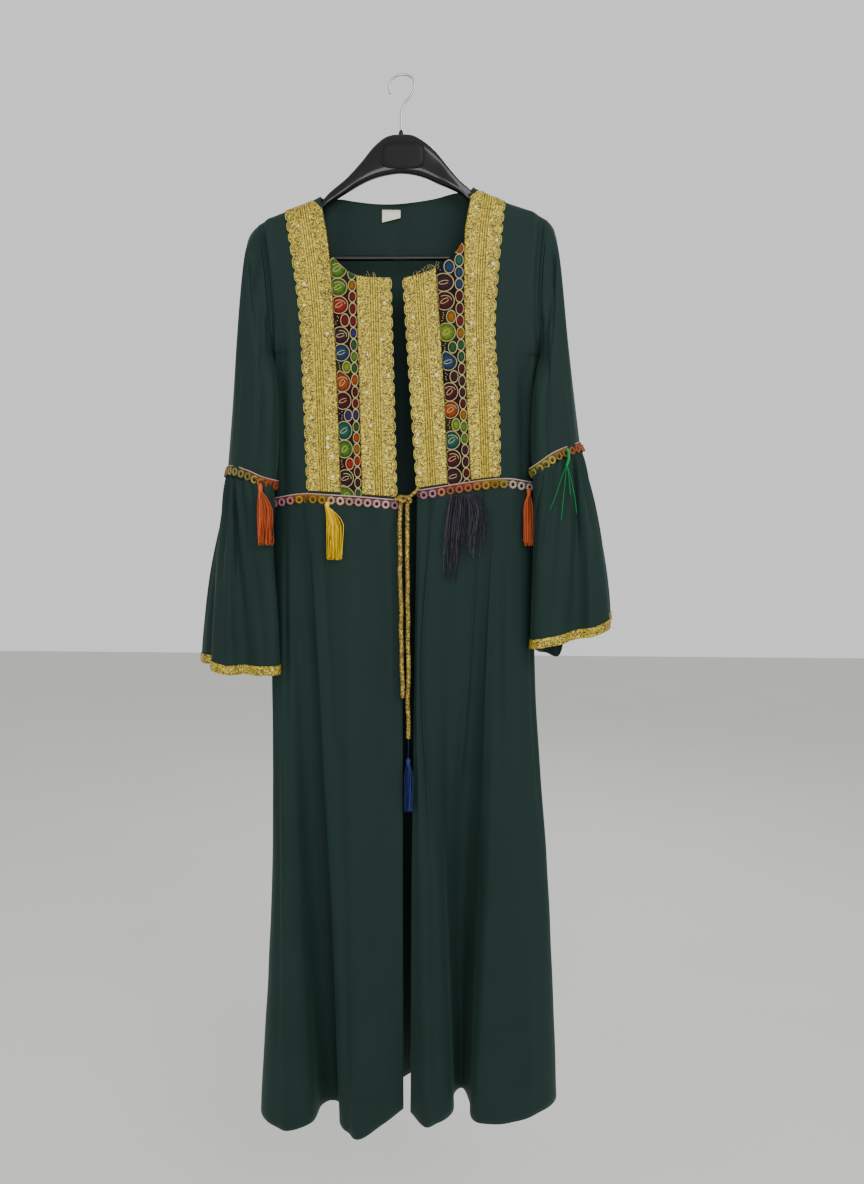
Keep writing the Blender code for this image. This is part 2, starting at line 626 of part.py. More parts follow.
def back_panel():
    shares = (0.0, 0.02, 0.06, 0.13, 0.225)
    middle = np.linspace(0.0, 1.0, 13)[1:-1]
    wall = Wall(2 * len(shares) + len(middle), NECK_ROW + 1 + len(TOP_ROWS))
    for i in range(wall.across):
        for j in range(wall.up):
            x, z = 0.0, -400.0
            for _ in range(4):
                waist = float(smooth(BACK_WAIST, x)) + WAIST_GAP / 2
                z = row_heights(waist, CORNER_Z, shoulder_z(x))[j]
                left = edge_x(LEFT_SIDE, LEFT_ARMHOLE, z)
                right = edge_x(RIGHT_SIDE, RIGHT_ARMHOLE, z)
                neck_left, neck_right = LEFT_SHOULDER[-1][0], RIGHT_SHOULDER[0][0]
                if i < len(shares):
                    x = left + (neck_left - left) * shares[i] / shares[-1]
                elif i >= wall.across - len(shares):
                    x = right + (neck_right - right) * shares[wall.across - 1 - i] / shares[-1]
                else:
                    x = neck_left + (neck_right - neck_left) * middle[i - len(shares)]
            wall.points[i, j] = (x, max(depth_at(x, z, 1), SEAM_GAP / 2), z)
    wall.find_normals(lambda p: bodice_middle(p, 1))
    finish_bodice(wall, LEFT_FRONT, 1, 0)
    finish_bodice(wall, RIGHT_FRONT, 1, wall.across - 1)
    return wall


# Skirt surface

def waist_z(s, x):
    if s <= LEFT_SEAM:
        return float(smooth(LEFT_WAIST, x))
    if s >= RIGHT_SEAM:
        return float(smooth(RIGHT_WAIST, x))
    return float(smooth(BACK_WAIST, x))


def skirt_point(s, share):
    """A point of the skirt, s folds along its section and a share of the way to the hem."""
    low, high = max(int(math.floor(s)) - 1, 0), min(int(math.floor(s)) + 2, len(FOLDS) - 1)
    knots = []
    for k in range(low, high + 1):
        fold = FOLDS[k]
        face = -1 if k <= LEFT_SEAM or k >= RIGHT_SEAM else 1
        side = k in (LEFT_SEAM, RIGHT_SEAM)
        y = 0.0 if side else waist_depth(fold.waist_x, face)
        top = waist_z(k, fold.waist_x)
        z = top + (HEM_Z - fold.drop - top) * share
        rows = (
            (-HEM_Z, (fold.hem_x, fold.hem_y)),
            (-KNEE_Z, (fold.knee_x, fold.knee_y)),
            (-HIP_Z, (fold.hip_x, fold.hip_y)),
            (-top, (fold.waist_x, y)),
        )
        x, y = smooth(tuple(reversed(rows)), -z)
        knots.append((k, (x, y, z)))
    point = smooth(tuple(knots), s)
    below = waist_z(s, point[0]) - point[2]
    for gather in GATHERS:
        near = math.exp(-(((s - gather.place) / 0.45) ** 2))
        fade = min(below / 14.0, 1.0) * math.exp(-max(below - 14.0, 0.0) / gather.reach)
        front = -1 if s <= LEFT_SEAM or s >= RIGHT_SEAM else 1
        point[1] += front * gather.depth * near * fade
    return point


def skirt_normal(s, share):
    ds, dr = 0.03, 0.004
    ahead, behind = min(s + ds, len(FOLDS) - 1), max(s - ds, 0)
    along = skirt_point(ahead, share) - skirt_point(behind, share)
    down = skirt_point(s, min(share + dr, 1.0)) - skirt_point(s, max(share - dr, 0.0))
    return unit(np.cross(along, down))


SKIRT_ROWS = (0.0, 0.02, 0.055, 0.11, 0.19, 0.28, 0.39, 0.51, 0.63, 0.76, 0.89, 1.0)


def skirt_panel(start, end, each=2):
    """The skirt between two places along its section, cut back half a seam gap at each end."""
    count = int(round((end - start) * each)) + 1
    wall = Wall(count, len(SKIRT_ROWS))
    for i in range(count):
        s = start + i / each
        for j, share in enumerate(SKIRT_ROWS):
            point = skirt_point(s, share)
            normal = skirt_normal(s, share)
            if s in (LEFT_SEAM, RIGHT_SEAM):
                inward = 1 if s == start else -1
                along = skirt_point(s + 0.05, share) - skirt_point(s - 0.05, share)
                point = point + unit(along) * inward * SEAM_GAP / 2
            if j == 0:
                point[2] -= WAIST_GAP / 2
            wall.points[i, j] = point
            wall.normals[i, j] = normal
        wall.flatten(i, 0, Z_AXIS)
    return wall


# Sleeves

def ring_point(ring, angle):
    """A point round a sleeve ring: 0 at its outer end, a quarter turn at the front."""
    c, s = math.cos(angle), math.sin(angle)
    power = 2 / 2.3
    c, s = math.copysign(abs(c) ** power, c), math.copysign(abs(s) ** power, s)
    middle = np.array(((ring.outer_x + ring.inner_x) / 2, 0.0, (ring.outer_z + ring.inner_z) / 2))
    half = np.array((ring.outer_x - ring.inner_x, 0.0, ring.outer_z - ring.inner_z)) / 2
    depth = ring.front if s > 0 else ring.back
    return middle + half * c - Y_AXIS * (depth * s + ring.lean * (1 - c) / 2)


def ring_middle(ring):
    x, z = (ring.outer_x + ring.inner_x) / 2, (ring.outer_z + ring.inner_z) / 2
    return np.array((x, -ring.lean / 2, z))


def sleeve_start(front, angle):
    low, high = front.armhole[0][0], front.armhole[-1][0]
    face = -1 if math.sin(angle) > 0 else 1
    z = (low + high) / 2 + (high - low) / 2 * math.cos(angle)
    if abs(math.sin(angle)) < 1e-6:
        face_point = armhole_point(front, -1, z)
        face_point[1] = 0.0
        return face_point, armhole_normal(front, -1, z)
    return armhole_point(front, face, z), armhole_normal(front, face, z)


SLEEVE_COLUMNS = 16
SLEEVE_STEPS = (0.0, 0.4, 1.0, 1.6, 2.3, 3.0, 3.7, 4.4, 5.0)
FLARE_EACH = 2
FLARE_STEPS = (0.0, 0.07, 0.2, 0.38, 0.58, 0.79, 1.0)


def sleeve_panel(front, rings, side):
    wall = Wall(SLEEVE_COLUMNS, len(SLEEVE_STEPS), closed=True)
    for i in range(SLEEVE_COLUMNS):
        angle = 2 * math.pi * i / SLEEVE_COLUMNS
        start, start_normal = sleeve_start(front, angle)
        rows = [(0, start)] + [(k + 1, ring_point(ring, angle)) for k, ring in enumerate(rings)]
        for j, step in enumerate(SLEEVE_STEPS):
            wall.points[i, j] = smooth(rows, step)
        wall.points[i, 0][0] += side * ARMHOLE_GAP
        wall.points[i, -1][2] += SEAM_GAP / 2
        wall.normals[i, 0] = start_normal
    middles = wall.points.mean(axis=0)
    starts = wall.normals[:, 0].copy()
    wall.find_normals(lambda p: middles[np.argmin(np.linalg.norm(middles - p, axis=1))])
    wall.normals[:, 0] = starts
    for i in range(SLEEVE_COLUMNS):
        wall.flatten(i, wall.up - 1, elbow_axis(rings[-1]))
    return wall


def elbow_axis(ring):
    """Square to the plane of the elbow seam."""
    return unit(np.array((-(ring.outer_z - ring.inner_z), 0.0, ring.outer_x - ring.inner_x)))


def flare_point(ring, folds, s, t):
    """A point of a flare, s folds round it and a share of the way down."""
    count = len(folds)
    start = ring_point(ring, 2 * math.pi * s / count)
    base = int(math.floor(s))
    knots = tuple((base + k, np.array(folds[(base + k) % count][1:], float)) for k in range(-1, 3))
    end = smooth(knots, s)
    spread = 1 - (1 - t) ** FLARE_SPREAD
    point = start + (end - start) * np.array((spread, spread, t))
    ripple = 1.6 * math.sin(2 * math.pi * s) * min(t / 0.08, 1.0) * math.exp(-t * 5)
    middle = ring_middle(ring)
    middle[2] = point[2]
    return point + unit(point - middle) * ripple


def flare_panel(ring, folds):
    wall = Wall(len(folds) * FLARE_EACH, len(FLARE_STEPS), closed=True)
    for i in range(wall.across):
        for j, t in enumerate(FLARE_STEPS):
            wall.points[i, j] = flare_point(ring, folds, i / FLARE_EACH, t)
        wall.points[i, 0][2] -= SEAM_GAP / 2
    outward(wall)
    for i in range(wall.across):
        wall.flatten(i, 0, elbow_axis(ring))
    return wall


def outward(wall):
    """Normals of a closed tube whose sections fold: all turned the way that encloses it."""
    for j in range(wall.up):
        section = wall.points[:, j]
        area = sum(a[0] * b[1] - b[0] * a[1] for a, b in zip(section, np.roll(section, -1, axis=0)))
        for i in range(wall.across):
            along = section[(i + 1) % wall.across] - section[i - 1]
            down = wall.points[i, max(j - 1, 0)] - wall.points[i, min(j + 1, wall.up - 1)]
            wall.normals[i, j] = unit(np.cross(along, down)) * (1 if area > 0 else -1)


# Braid and trim, laid on the panels

def scallop(distance, pitch, depth):
    """A scalloped edge's depth at a distance along it: deep at the notches, 0 at the lobes."""
    return depth * max(1 - 1.25 * abs(math.sin(math.pi * distance / pitch)), 0.0)


def band(name, wall, out_column, in_column, rows, scallop_out, scallop_in):
    """A braid band up a panel between two of its columns, with scalloped edges where it has them."""
    low, high = rows
    marks = np.linspace(low, high, 200)
    middle = (out_column + in_column) / 2
    path = [wall.at(middle, m, 0.0)[0] for m in marks]
    run = np.concatenate([[0.0], np.cumsum([np.linalg.norm(b - a) for a, b in zip(path, path[1:])])])
    pitch = run[-1] / int(round(run[-1] / SCALLOP_PITCH))
    places = [pitch / 3 * k for k in range(int(round(run[-1] / pitch * 3)) + 1)]
    corners = [float(np.interp(j, marks, run)) for j in range(math.ceil(low), math.floor(high) + 1)]
    places += [c for c in corners if min(abs(c - p) for p in places) > 0.6]
    pairs = []
    for distance in sorted(places):
        j = float(np.interp(distance, run, marks))
        j = round(j) if abs(j - round(j)) < 0.03 else j
        wave = scallop(distance, pitch, SCALLOP_DEPTH)
        width = np.linalg.norm(wall.at(out_column, j, 0)[0] - wall.at(out_column + 1, j, 0)[0])
        inner = np.linalg.norm(wall.at(in_column, j, 0)[0] - wall.at(in_column - 1, j, 0)[0])
        i_out = out_column + (wave / width if scallop_out else 0.15 / width)
        i_in = in_column - (wave / inner if scallop_in else 0.3 / inner)
        low_point, low_normal = wall.at(i_out, j, BAND_LIFT)
        high_point, high_normal = wall.at(i_in, j, BAND_LIFT)
        if abs(low_point[1]) < 1.0:
            low_point[1] = high_point[1] = -SEAM_GAP / 2
        pairs.append((low_point, low_normal, high_point, high_normal))
    return build_strip(name, pairs, "gold_braid")


def bands(side, wall):
    full = (BAND_START, wall.up - 1.0)
    band(f"outer_band_{side}", wall, BAND_OUT_COLUMN, BAND_IN_COLUMN, full, True, False)
    short = (BAND_START, NECK_ROW)
    band(f"inner_band_{side}", wall, INSERT_COLUMN, CENTRE_COLUMN, short, False, True)
    rows = [BAND_START] + list(range(1, NECK_ROW + 1))
    strip = Wall(3, len(rows))
    for i, column in enumerate((BAND_IN_COLUMN + 0.05, BAND_IN_COLUMN + 1, INSERT_COLUMN - 0.05)):
        for j, row in enumerate(rows):
            point, normal = wall.at(column, row, INSERT_LIFT)
            strip.points[i, j], strip.normals[i, j] = point, normal
    build_wall(f"insert_{side}", strip, "insert", 1.0)


def waist_trim(name, start, end):
    """The looped trim over the waist seam, along the skirt's section."""
    marks = np.linspace(start, end, 160)
    path = [skirt_point(s, 0.0) for s in marks]
    run = np.concatenate([[0.0], np.cumsum([np.linalg.norm(b - a) for a, b in zip(path, path[1:])])])
    segments = int(round(run[-1] / LOOP_PITCH)) * 3
    pairs = []
    for k in range(segments + 1):
        s = float(np.interp(run[-1] * k / segments, run, marks))
        point = skirt_point(s, 0.0)
        normal = skirt_normal(s, 0.0)
        normal = unit(normal * np.array((1.0, 1.0, 0.0)))
        drop = TRIM_TALL * 0.6 - (LOOP_DEPTH if k % 3 == 0 else 0.0)
        low = point + normal * (WAIST_LIFT + 0.9) - Z_AXIS * drop
        high = point + normal * WAIST_LIFT + Z_AXIS * TRIM_TALL * 0.4
        pairs.append((low, normal, high, normal))
    return build_strip(name, pairs, "trim", thick=TRIM_THICK)


def elbow_trim(name, rings, folds, rise):
    """The looped trim round the elbow seam."""
    ring = rings[-1]
    angles = np.linspace(0, 2 * math.pi, 161)
    path = [ring_point(ring, a) for a in angles]
    run = np.concatenate([[0.0], np.cumsum([np.linalg.norm(b - a) for a, b in zip(path, path[1:])])])
    segments = int(round(run[-1] / LOOP_PITCH)) * 3
    axis = elbow_axis(ring)
    axis = axis if axis[2] > 0 else -axis
    pairs = []
    for k in range(segments):
        angle = float(np.interp(run[-1] * k / segments, run, angles))
        point = ring_point(ring, angle)
        along = ring_point(ring, angle + 0.02) - ring_point(ring, angle - 0.02)
        normal = unit(np.cross(along, axis))
        if normal @ (point - ring_middle(ring)) < 0:
            normal = -normal
        lift = float(smooth(rise, math.degrees(angle)))
        drop = TRIM_TALL / 2 - lift - (LOOP_DEPTH if k % 3 == 0 else 0.0)
        top = TRIM_TALL / 2 + lift
        spread = flare_point(ring, folds, angle / (2 * math.pi) * len(folds), 0.03) - point
        above = ring_point(rings[-2], angle)
        above = point + (above - point) * top / np.linalg.norm(above - point)
        low_out = ELBOW_LIFT + max(spread @ normal, 0.0) * 1.2
        high_out = ELBOW_LIFT + max((above - point) @ normal, 0.0)
        low = point + normal * low_out - axis * drop
        high = point + normal * high_out + axis * top
        pairs.append((low, normal, high, normal))
    return build_strip(name, pairs, "trim", closed=True, thick=TRIM_THICK)


def cuff_braid(name, wall):
    """Flat braid round the flare's hem, on its outside."""
    strip = Wall(wall.across, 2, closed=True)
    last = wall.up - 1
    for i in range(wall.across):
        tall = np.linalg.norm(wall.points[i, last] - wall.points[i, last - 1])
        for j, row in ((0, last), (1, last - BRAID_TALL / tall)):
            point, normal = wall.at(i, row, LIFT + BAND_THICK)
            strip.points[i, j], strip.normals[i, j] = point, normal
    return build_wall(name, strip, "gold_braid", BAND_THICK)


# Tassels

def strand_mesh(bm, root, tip, thick, bell, turned):
    """A three-sided strand. A bell above 0 swings it out early, and it hangs straighter below."""
    stations = [root, tip]
    if bell:
        early = np.array((bell, bell, BELL_DOWN))
        stations.insert(1, root + (tip - root) * early)
    rings = []
    for centre in stations:
        corners = [turned + 2 * math.pi * k / 3 for k in range(3)]
        ring = [centre + np.array((math.cos(a), math.sin(a), 0.0)) * thick / 2 for a in corners]
        rings.append([bm.verts.new(Vector(point) * MM) for point in ring])
    for upper, lower in zip(rings, rings[1:]):
        for k in range(3):
            bm.faces.new((upper[k], upper[(k + 1) % 3], lower[(k + 1) % 3], lower[k]))
    bm.faces.new(rings[0])
    bm.faces.new(rings[-1])


def build_tassel(name, colour, head, half, strands):
    """A tassel: a rounded head, and strands whose roots are fused into it."""
    obj = new_object(name, ellipsoid(name, head, half, 8, 6), colour)
    bm = bmesh.new()
    for k, (root, tip, thick, bell) in enumerate(strands):
        strand_mesh(bm, np.array(root, float), np.array(tip, float), thick, bell, k * 0.7)
    bmesh.ops.recalc_face_normals(bm, faces=bm.faces)
    mesh = bpy.data.meshes.new(f"{name}_strands")
    bm.to_mesh(mesh)
    bm.free()
    fuse(obj, mesh)


def fan(head, half, shape):
    """Strands set in rows under a head, spreading as they fall."""
    head, half = np.array(head), np.array(half)
    strands = []
    for r in range(shape.deep):
        for c in range(shape.across):
            side = (c + 0.5) / shape.across * 2 - 1
            back = ((r + 0.5) / shape.deep * 2 - 1) if shape.deep > 1 else 0.0
            root = head + half * np.array((side * 0.62, back * 0.5, -0.2))
            fall = shape.fall - shape.uneven * (0.5 + 0.5 * math.sin(5.1 * c + 2.3 * r))
            out = shape.lean + side * shape.spread
            tip = head + np.array((out, back * shape.spread * 0.35 - shape.forward, -fall))
            strands.append((root, tip, shape.thick, shape.bell))
    return strands


def tassels():
    for row in TASSELS:
        strands = fan(row.head, row.half, row.fan)
        if row.name == "tassel_blue":
            strands.append((row.head, STEM_TOP, STEM_THICK, 0))
        build_tassel(row.name, row.colour, row.head, row.half, strands)
    wide = CHARCOAL_HEAD
    build_tassel(wide.name, wide.colour, wide.head, wide.half, fan(*BUNCH_LONG) + fan(*BUNCH_SHORT))
    build_tassel("tassel_green", "green", GREEN_HEAD, GREEN_HALF, GREEN_STRANDS)


# Tie

def round_curve(name, thick, resolution):
    curve = bpy.data.curves.new(name, "CURVE")
    curve.dimensions = "3D"
    curve.bevel_depth = thick / 2 * MM
    curve.bevel_resolution = resolution
    curve.use_fill_caps = True
    return curve


def place_curve(name, curve, colour):
    obj = bpy.data.objects.new(name, curve)
    bpy.data.collections["abaya"].objects.link(obj)
    curve.materials.append(material(colour))
    return obj


def route_curve(name, route, thick, resolution, step):
    """A round cord on a poly spline read from the smooth curve through its route."""
    rows = tuple((k, np.array(p)) for k, p in enumerate(route))
    marks = np.linspace(0, len(route) - 1, 400)
    path = [smooth(rows, m) for m in marks]
    run = np.concatenate([[0.0], np.cumsum([np.linalg.norm(b - a) for a, b in zip(path, path[1:])])])
    count = max(int(run[-1] / step), 4)
    curve = round_curve(name, thick, resolution)
    spline = curve.splines.new("POLY")
    spline.points.add(count)
    for k in range(count + 1):
        point = smooth(rows, float(np.interp(run[-1] * k / count, run, marks)))
        spline.points[k].co = (*(point * MM), 1.0)
    return curve


def tie():
    for name, route in (("tie_cord_left", LEFT_CORD_ROUTE), ("tie_cord_right", RIGHT_CORD_ROUTE)):
        curve = route_curve(name, route, CORD_THICK, 2, CORD_STEP)
        place_curve(name, curve, "gold_cord")
    curve = route_curve("tie_knot", KNOT_ROUTE, CORD_THICK, 2, KNOT_STEP)
    loop = mesh_of(curve, "gold_cord")
    core = ellipsoid("tie_knot_core", KNOT_CORE, KNOT_HALF, 12, 8)
    fuse(new_object("tie_knot", loop, "gold_cord"), core)


def mesh_of(curve, colour):
    """A curve's tube as a mesh, with its end caps welded on."""
    obj = bpy.data.objects.new(f"{curve.name}_curve", curve)
    bpy.data.collections["cutters"].objects.link(obj)
    graph = bpy.context.evaluated_depsgraph_get()
    mesh = bpy.data.meshes.new_from_object(obj.evaluated_get(graph))
    bpy.data.objects.remove(obj)
    bm = bmesh.new()
    bm.from_mesh(mesh)
    bmesh.ops.remove_doubles(bm, verts=bm.verts, dist=0.01 * MM)
    bm.to_mesh(mesh)
    bm.free()
    mesh.materials.clear()
    mesh.materials.append(material(colour))
    return mesh


def ellipsoid(name, centre, half, around, rows):
    bm = bmesh.new()
    bmesh.ops.create_uvsphere(bm, u_segments=around, v_segments=rows, radius=1.0)
    bmesh.ops.scale(bm, vec=Vector(half) * MM, verts=bm.verts)
    bmesh.ops.translate(bm, vec=Vector(centre) * MM, verts=bm.verts)
    mesh = bpy.data.meshes.new(name)
    bm.to_mesh(mesh)
    bm.free()
    return mesh


def fuse(obj, mesh):
    """Joins a second shape to an object's own."""
    other = bpy.data.objects.new(mesh.name, mesh)
    bpy.data.collections["cutters"].objects.link(other)
    other.hide_render = True
    other.display_type = "WIRE"
    union = obj.modifiers.new("fuse", "BOOLEAN")
    union.operation = "UNION"
    union.object = other
    union.solver = "EXACT"
    union.use_self = True


# Hanger

def hanger_body():
    """A loft of rounded sections along the arms, with the neck of the hook on top."""
    side = 1 - ARM_CORNER
    ring = (
        (-1, side), (-side, 1), (side, 1), (1, side),
        (1, -side), (side, -1), (-side, -1), (-1, -side),
    )
    points, faces = [], []
    for arm in ARMS:
        middle, half = (arm.top + arm.bottom) / 2, (arm.top - arm.bottom) / 2
        for y, z in ring:
            points.append((arm.x, y * arm.half, middle + z * half))
    n = len(ring)
    for k in range(len(ARMS) - 1):
        for i in range(n):
            j = (i + 1) % n
            faces.append((k * n + i, k * n + j, (k + 1) * n + j, (k + 1) * n + i))
    faces.append(list(range(n)))
    faces.append([(len(ARMS) - 1) * n + i for i in range(n)])
    body = new_object("hanger_body", mesh_from("hanger_body", points, faces), "hanger")
    x, top, tall, low_radius, top_radius = NUB
    bm = bmesh.new()
    bmesh.ops.create_cone(
        bm, cap_ends=True, segments=12, radius1=low_radius * MM, radius2=top_radius * MM, depth=tall * MM
    )
    bmesh.ops.translate(bm, vec=Vector((x, 0.0, top - tall / 2)) * MM, verts=bm.verts)
    mesh = bpy.data.meshes.new("hanger_nub")
    bm.to_mesh(mesh)
    bm.free()
    fuse(body, mesh)


def bar():
    """The bar across the hanger, its ends bent up to the undersides of the arms."""
    curve = round_curve("hanger_bar", BAR_THICK, 2)
    spline = curve.splines.new("POLY")
    spline.points.add(len(BAR_ROUTE) - 1)
    for k, (x, z) in enumerate(BAR_ROUTE):
        spline.points[k].co = (x * MM, 0.0, z * MM, 1.0)
    place_curve("hanger_bar", curve, "hanger")


def hook():
    route = [(x, 0.0, z) for x, z in HOOK_ROUTE]
    curve = route_curve("hanger_hook", route, HOOK_WIRE, 2, HOOK_STEP)
    place_curve("hanger_hook", curve, "steel")


def plaque():
    """A flat rounded plate on the hanger's face, left bare."""
    curve = bpy.data.curves.new("hanger_plaque", "CURVE")
    curve.dimensions = "2D"
    curve.fill_mode = "BOTH"
    curve.extrude = PLAQUE_THICK / 2 * MM
    spline = curve.splines.new("POLY")
    spline.points.add(PLAQUE_CORNERS - 1)
    spline.use_cyclic_u = True
    for k in range(PLAQUE_CORNERS):
        c, s = (f(2 * math.pi * k / PLAQUE_CORNERS) for f in (math.cos, math.sin))
        x = math.copysign(abs(c) ** 0.55, c) * PLAQUE_HALF[0]
        z = math.copysign(abs(s) ** 0.55, s) * PLAQUE_HALF[1]
        spline.points[k].co = (x * MM, z * MM, 0.0, 1.0)
    obj = place_curve("hanger_plaque", curve, "hanger")
    obj.rotation_euler = (math.radians(90), 0, 0)
    front = -max(arm.half for arm in ARMS[8:15])
    x, z = PLAQUE_AT
    obj.location = Vector((x, front - SEAM_GAP - PLAQUE_THICK / 2, z)) * MM


def label():
    """The blank neck label, on the inside of the back."""
    strip = Wall(2, 2)
    for i, (x, top, bottom) in enumerate(LABEL):
        for j, z in enumerate((top, bottom)):
            y = depth_at(x, z, 1) - CLOTH - LIFT
            strip.points[i, j] = (x, y, z)
            strip.normals[i, j] = Y_AXIS
    build_wall("neck_label", strip, "label", LABEL_THICK)


def main():
    for obj in list(bpy.data.objects):
        bpy.data.objects.remove(obj)
    for name in ("abaya", "cutters"):
        made = bpy.data.collections.new(name)
        bpy.context.scene.collection.children.link(made)
    bpy.data.collections["cutters"].hide_render = True
    back = back_panel()
    build_wall("back_bodice", back, "cloth")
    for side, front, rings, rise, folds, way in (
        ("left", LEFT_FRONT, LEFT_RINGS, LEFT_RISE, LEFT_FLARE, -1),
        ("right", RIGHT_FRONT, RIGHT_RINGS, RIGHT_RISE, RIGHT_FLARE, 1),
    ):
        panel = front_panel(front)
        build_wall(f"front_bodice_{side}", panel, "cloth")
        bands(side, panel)
        build_wall(f"upper_sleeve_{side}", sleeve_panel(front, rings, way), "cloth")
        flare = flare_panel(rings[-1], folds)
        build_wall(f"sleeve_flare_{side}", flare, "cloth")
        cuff_braid(f"cuff_braid_{side}", flare)
        elbow_trim(f"elbow_trim_{side}", rings, folds, rise)
    build_wall("front_skirt_left", skirt_panel(0, LEFT_SEAM), "cloth")
    build_wall("back_skirt", skirt_panel(LEFT_SEAM, RIGHT_SEAM), "cloth")
    build_wall("front_skirt_right", skirt_panel(RIGHT_SEAM, len(FOLDS) - 1), "cloth")
    waist_trim("waist_trim_left", 0.0, LEFT_SEAM - 0.6)
    waist_trim("waist_trim_right", RIGHT_SEAM + 0.6, len(FOLDS) - 1.0)
    tassels()
    tie()
    hanger_body()
    bar()
    hook()
    plaque()
    label()


main()
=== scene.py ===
"""An abaya on a clothes hanger: cloth, braid, embroidery, trims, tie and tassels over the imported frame.

Sizes inside the functions are in millimetres and become metres when a mesh is made.
X runs to the viewer's right, Y away from the viewer and Z up, from the hook's inner top.
"Left" and "right" are the viewer's.
"""

import math
import random
from collections import namedtuple

import bmesh
import bpy
import numpy as np
from bpy.props import FloatProperty, FloatVectorProperty, IntProperty, PointerProperty
from mathutils import Matrix, Vector, noise


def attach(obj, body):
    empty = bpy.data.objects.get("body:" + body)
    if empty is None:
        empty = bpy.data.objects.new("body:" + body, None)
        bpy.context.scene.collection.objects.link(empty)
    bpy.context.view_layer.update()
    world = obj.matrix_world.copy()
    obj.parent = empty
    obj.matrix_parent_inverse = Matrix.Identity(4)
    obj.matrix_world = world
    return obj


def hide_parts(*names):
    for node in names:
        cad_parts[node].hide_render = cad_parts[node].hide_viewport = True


bl_info = {
    "name": "Abaya on a clothes hanger",
    "version": (1, 0, 0),
    "blender": (4, 5, 0),
    "location": "View3D > Sidebar > Abaya",
    "description": "Dresses the packed abaya with cloth, braid, embroidery, trims, a tie and tassels",
    "category": "Add Mesh",
}

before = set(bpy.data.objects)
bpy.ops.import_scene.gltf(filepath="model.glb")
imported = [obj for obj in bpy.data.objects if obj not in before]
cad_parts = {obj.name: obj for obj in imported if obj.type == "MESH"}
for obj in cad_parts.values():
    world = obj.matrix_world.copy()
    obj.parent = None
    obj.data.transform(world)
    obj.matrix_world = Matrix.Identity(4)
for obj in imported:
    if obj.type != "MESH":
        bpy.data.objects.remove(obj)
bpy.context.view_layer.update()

MM = 0.001
SEAM_GAP = 0.3
ARMHOLE_GAP = 0.8
WAIST_GAP = 0.8
SEAM_OVER = 0.07
TRIM_TALL = 15.0
LOOP_PITCH = 13.0
SCALLOP_PITCH = 18.5
SCALLOP_DEPTH = 3.6
BRAID_TALL = 14.0
STRIPE_HALF = 7.5
STRIPE_PITCH = 3.4
DEPTH = 27.0
SIDE_TURN = 52.0
SHOULDER_TURN = 24.0
HIP_Z = -860.0
KNEE_Z = -1200.0
HEM_Z = -1568.0
UNDERARM_Z = -392.0
CORNER_Z = -240.0

# The stage, in metres: camera, pale room and lamps (place, aim, width and power).
CAMERA_AT = (0.04923163, -1.33, -0.60015983)
CAMERA_PITCH = -6.0
CAMERA_ROLL = 0.5
SENSOR = 36.0
FOCAL_SHARE = 883.0 / 1184.0
FLOOR_HALF = 6.0
FLOOR_Z = -1.9
WORLD_GREY = (0.8, 0.8, 0.8)
WORLD_STRENGTH = 1.15
LAMPS = (
    ("key_light", (1.2, -2.2, 0.8), (0, 0, -0.6), 1.6, 48),
    ("fill_light", (-2, -1.8, -0.2), (0, 0, -0.9), 1.8, 7),
    ("front_light", (0.05, -2.4, -0.5), (0, 0, -0.7), 0.9, 17.5),
    ("back_light", (0.4, 2.2, 0.9), (0, 0, -0.6), 1.6, 38.5),
)


def rows_of(kind, *rows):
    """A table's rows, each with its named columns."""
    return tuple(kind(*row) for row in rows)


# The garment's outline. Each row is a height and where the edge stands there.
LEFT_SIDE = ((-610, -190), (-520, -190), (-455, -189), (UNDERARM_Z, -186))
LEFT_ARMHOLE = ((UNDERARM_Z, -186), (-330, -190), (-265, -196), (-208, -204))
RIGHT_SIDE = ((-610, 202), (-520, 200), (-455, 199), (UNDERARM_Z, 203))
RIGHT_ARMHOLE = ((UNDERARM_Z, 203), (-330, 202), (-260, 204), (-198, 210))
# Shoulder lines and the waist seam. Each row is a place across and the height there.
LEFT_SHOULDER = ((-204, -208), (-186, -197.5), (-165, -189), (-131, -175.5), (-116, -167.5))
RIGHT_SHOULDER = ((103, -152.5), (113, -158), (149, -173), (186, -185.5), (210, -198))
LEFT_WAIST = ((-190, -608), (-137, -600), (-3, -608))
RIGHT_WAIST = ((26, -594), (149, -575.5), (202, -581.5))
BACK_WAIST = ((-190, -608), (0, -600), (202, -581.5))
BACK_NECK = (
    (-116, -167.5), (-92, -164), (-69, -167), (-39, -170), (-10, -170), (19, -167), (49, -162), (79, -154),
    (103, -152.5),
)
LEFT_NECK = ((-103, CORNER_Z), (-91, -262), (-65, -281), (-13, -285))
RIGHT_NECK = ((3, -286), (49, -271), (81, -246), (91, -226))

# Lines down each bodice front, as heights and places across: the edges of its bands.
Front = namedtuple("Front", "side armhole waist neck band_out band_in insert_in centre")
LEFT_FRONT = Front(
    LEFT_SIDE, LEFT_ARMHOLE, LEFT_WAIST, LEFT_NECK,
    ((-608, -135), (-454, -140), (-331, -146), (-190, -166)),
    ((-608, -85), (-361, -94), (CORNER_Z, -103), (-167.5, -116)),
    ((-600, -55), (-280, -64)),
    ((-600, -3), (-285, -13)),
)
RIGHT_FRONT = Front(
    RIGHT_SIDE, RIGHT_ARMHOLE, RIGHT_WAIST, RIGHT_NECK,
    ((-600, 149), (-467, 145), (-359, 137), (-268, 141), (-174, 149)),
    ((-600, 106), (-440, 96), (-226, 91), (-152.5, 103)),
    ((-600, 72), (-437, 64), (-270, 51)),
    ((-600, 26), (-453, 15), (-286, 3)),
)

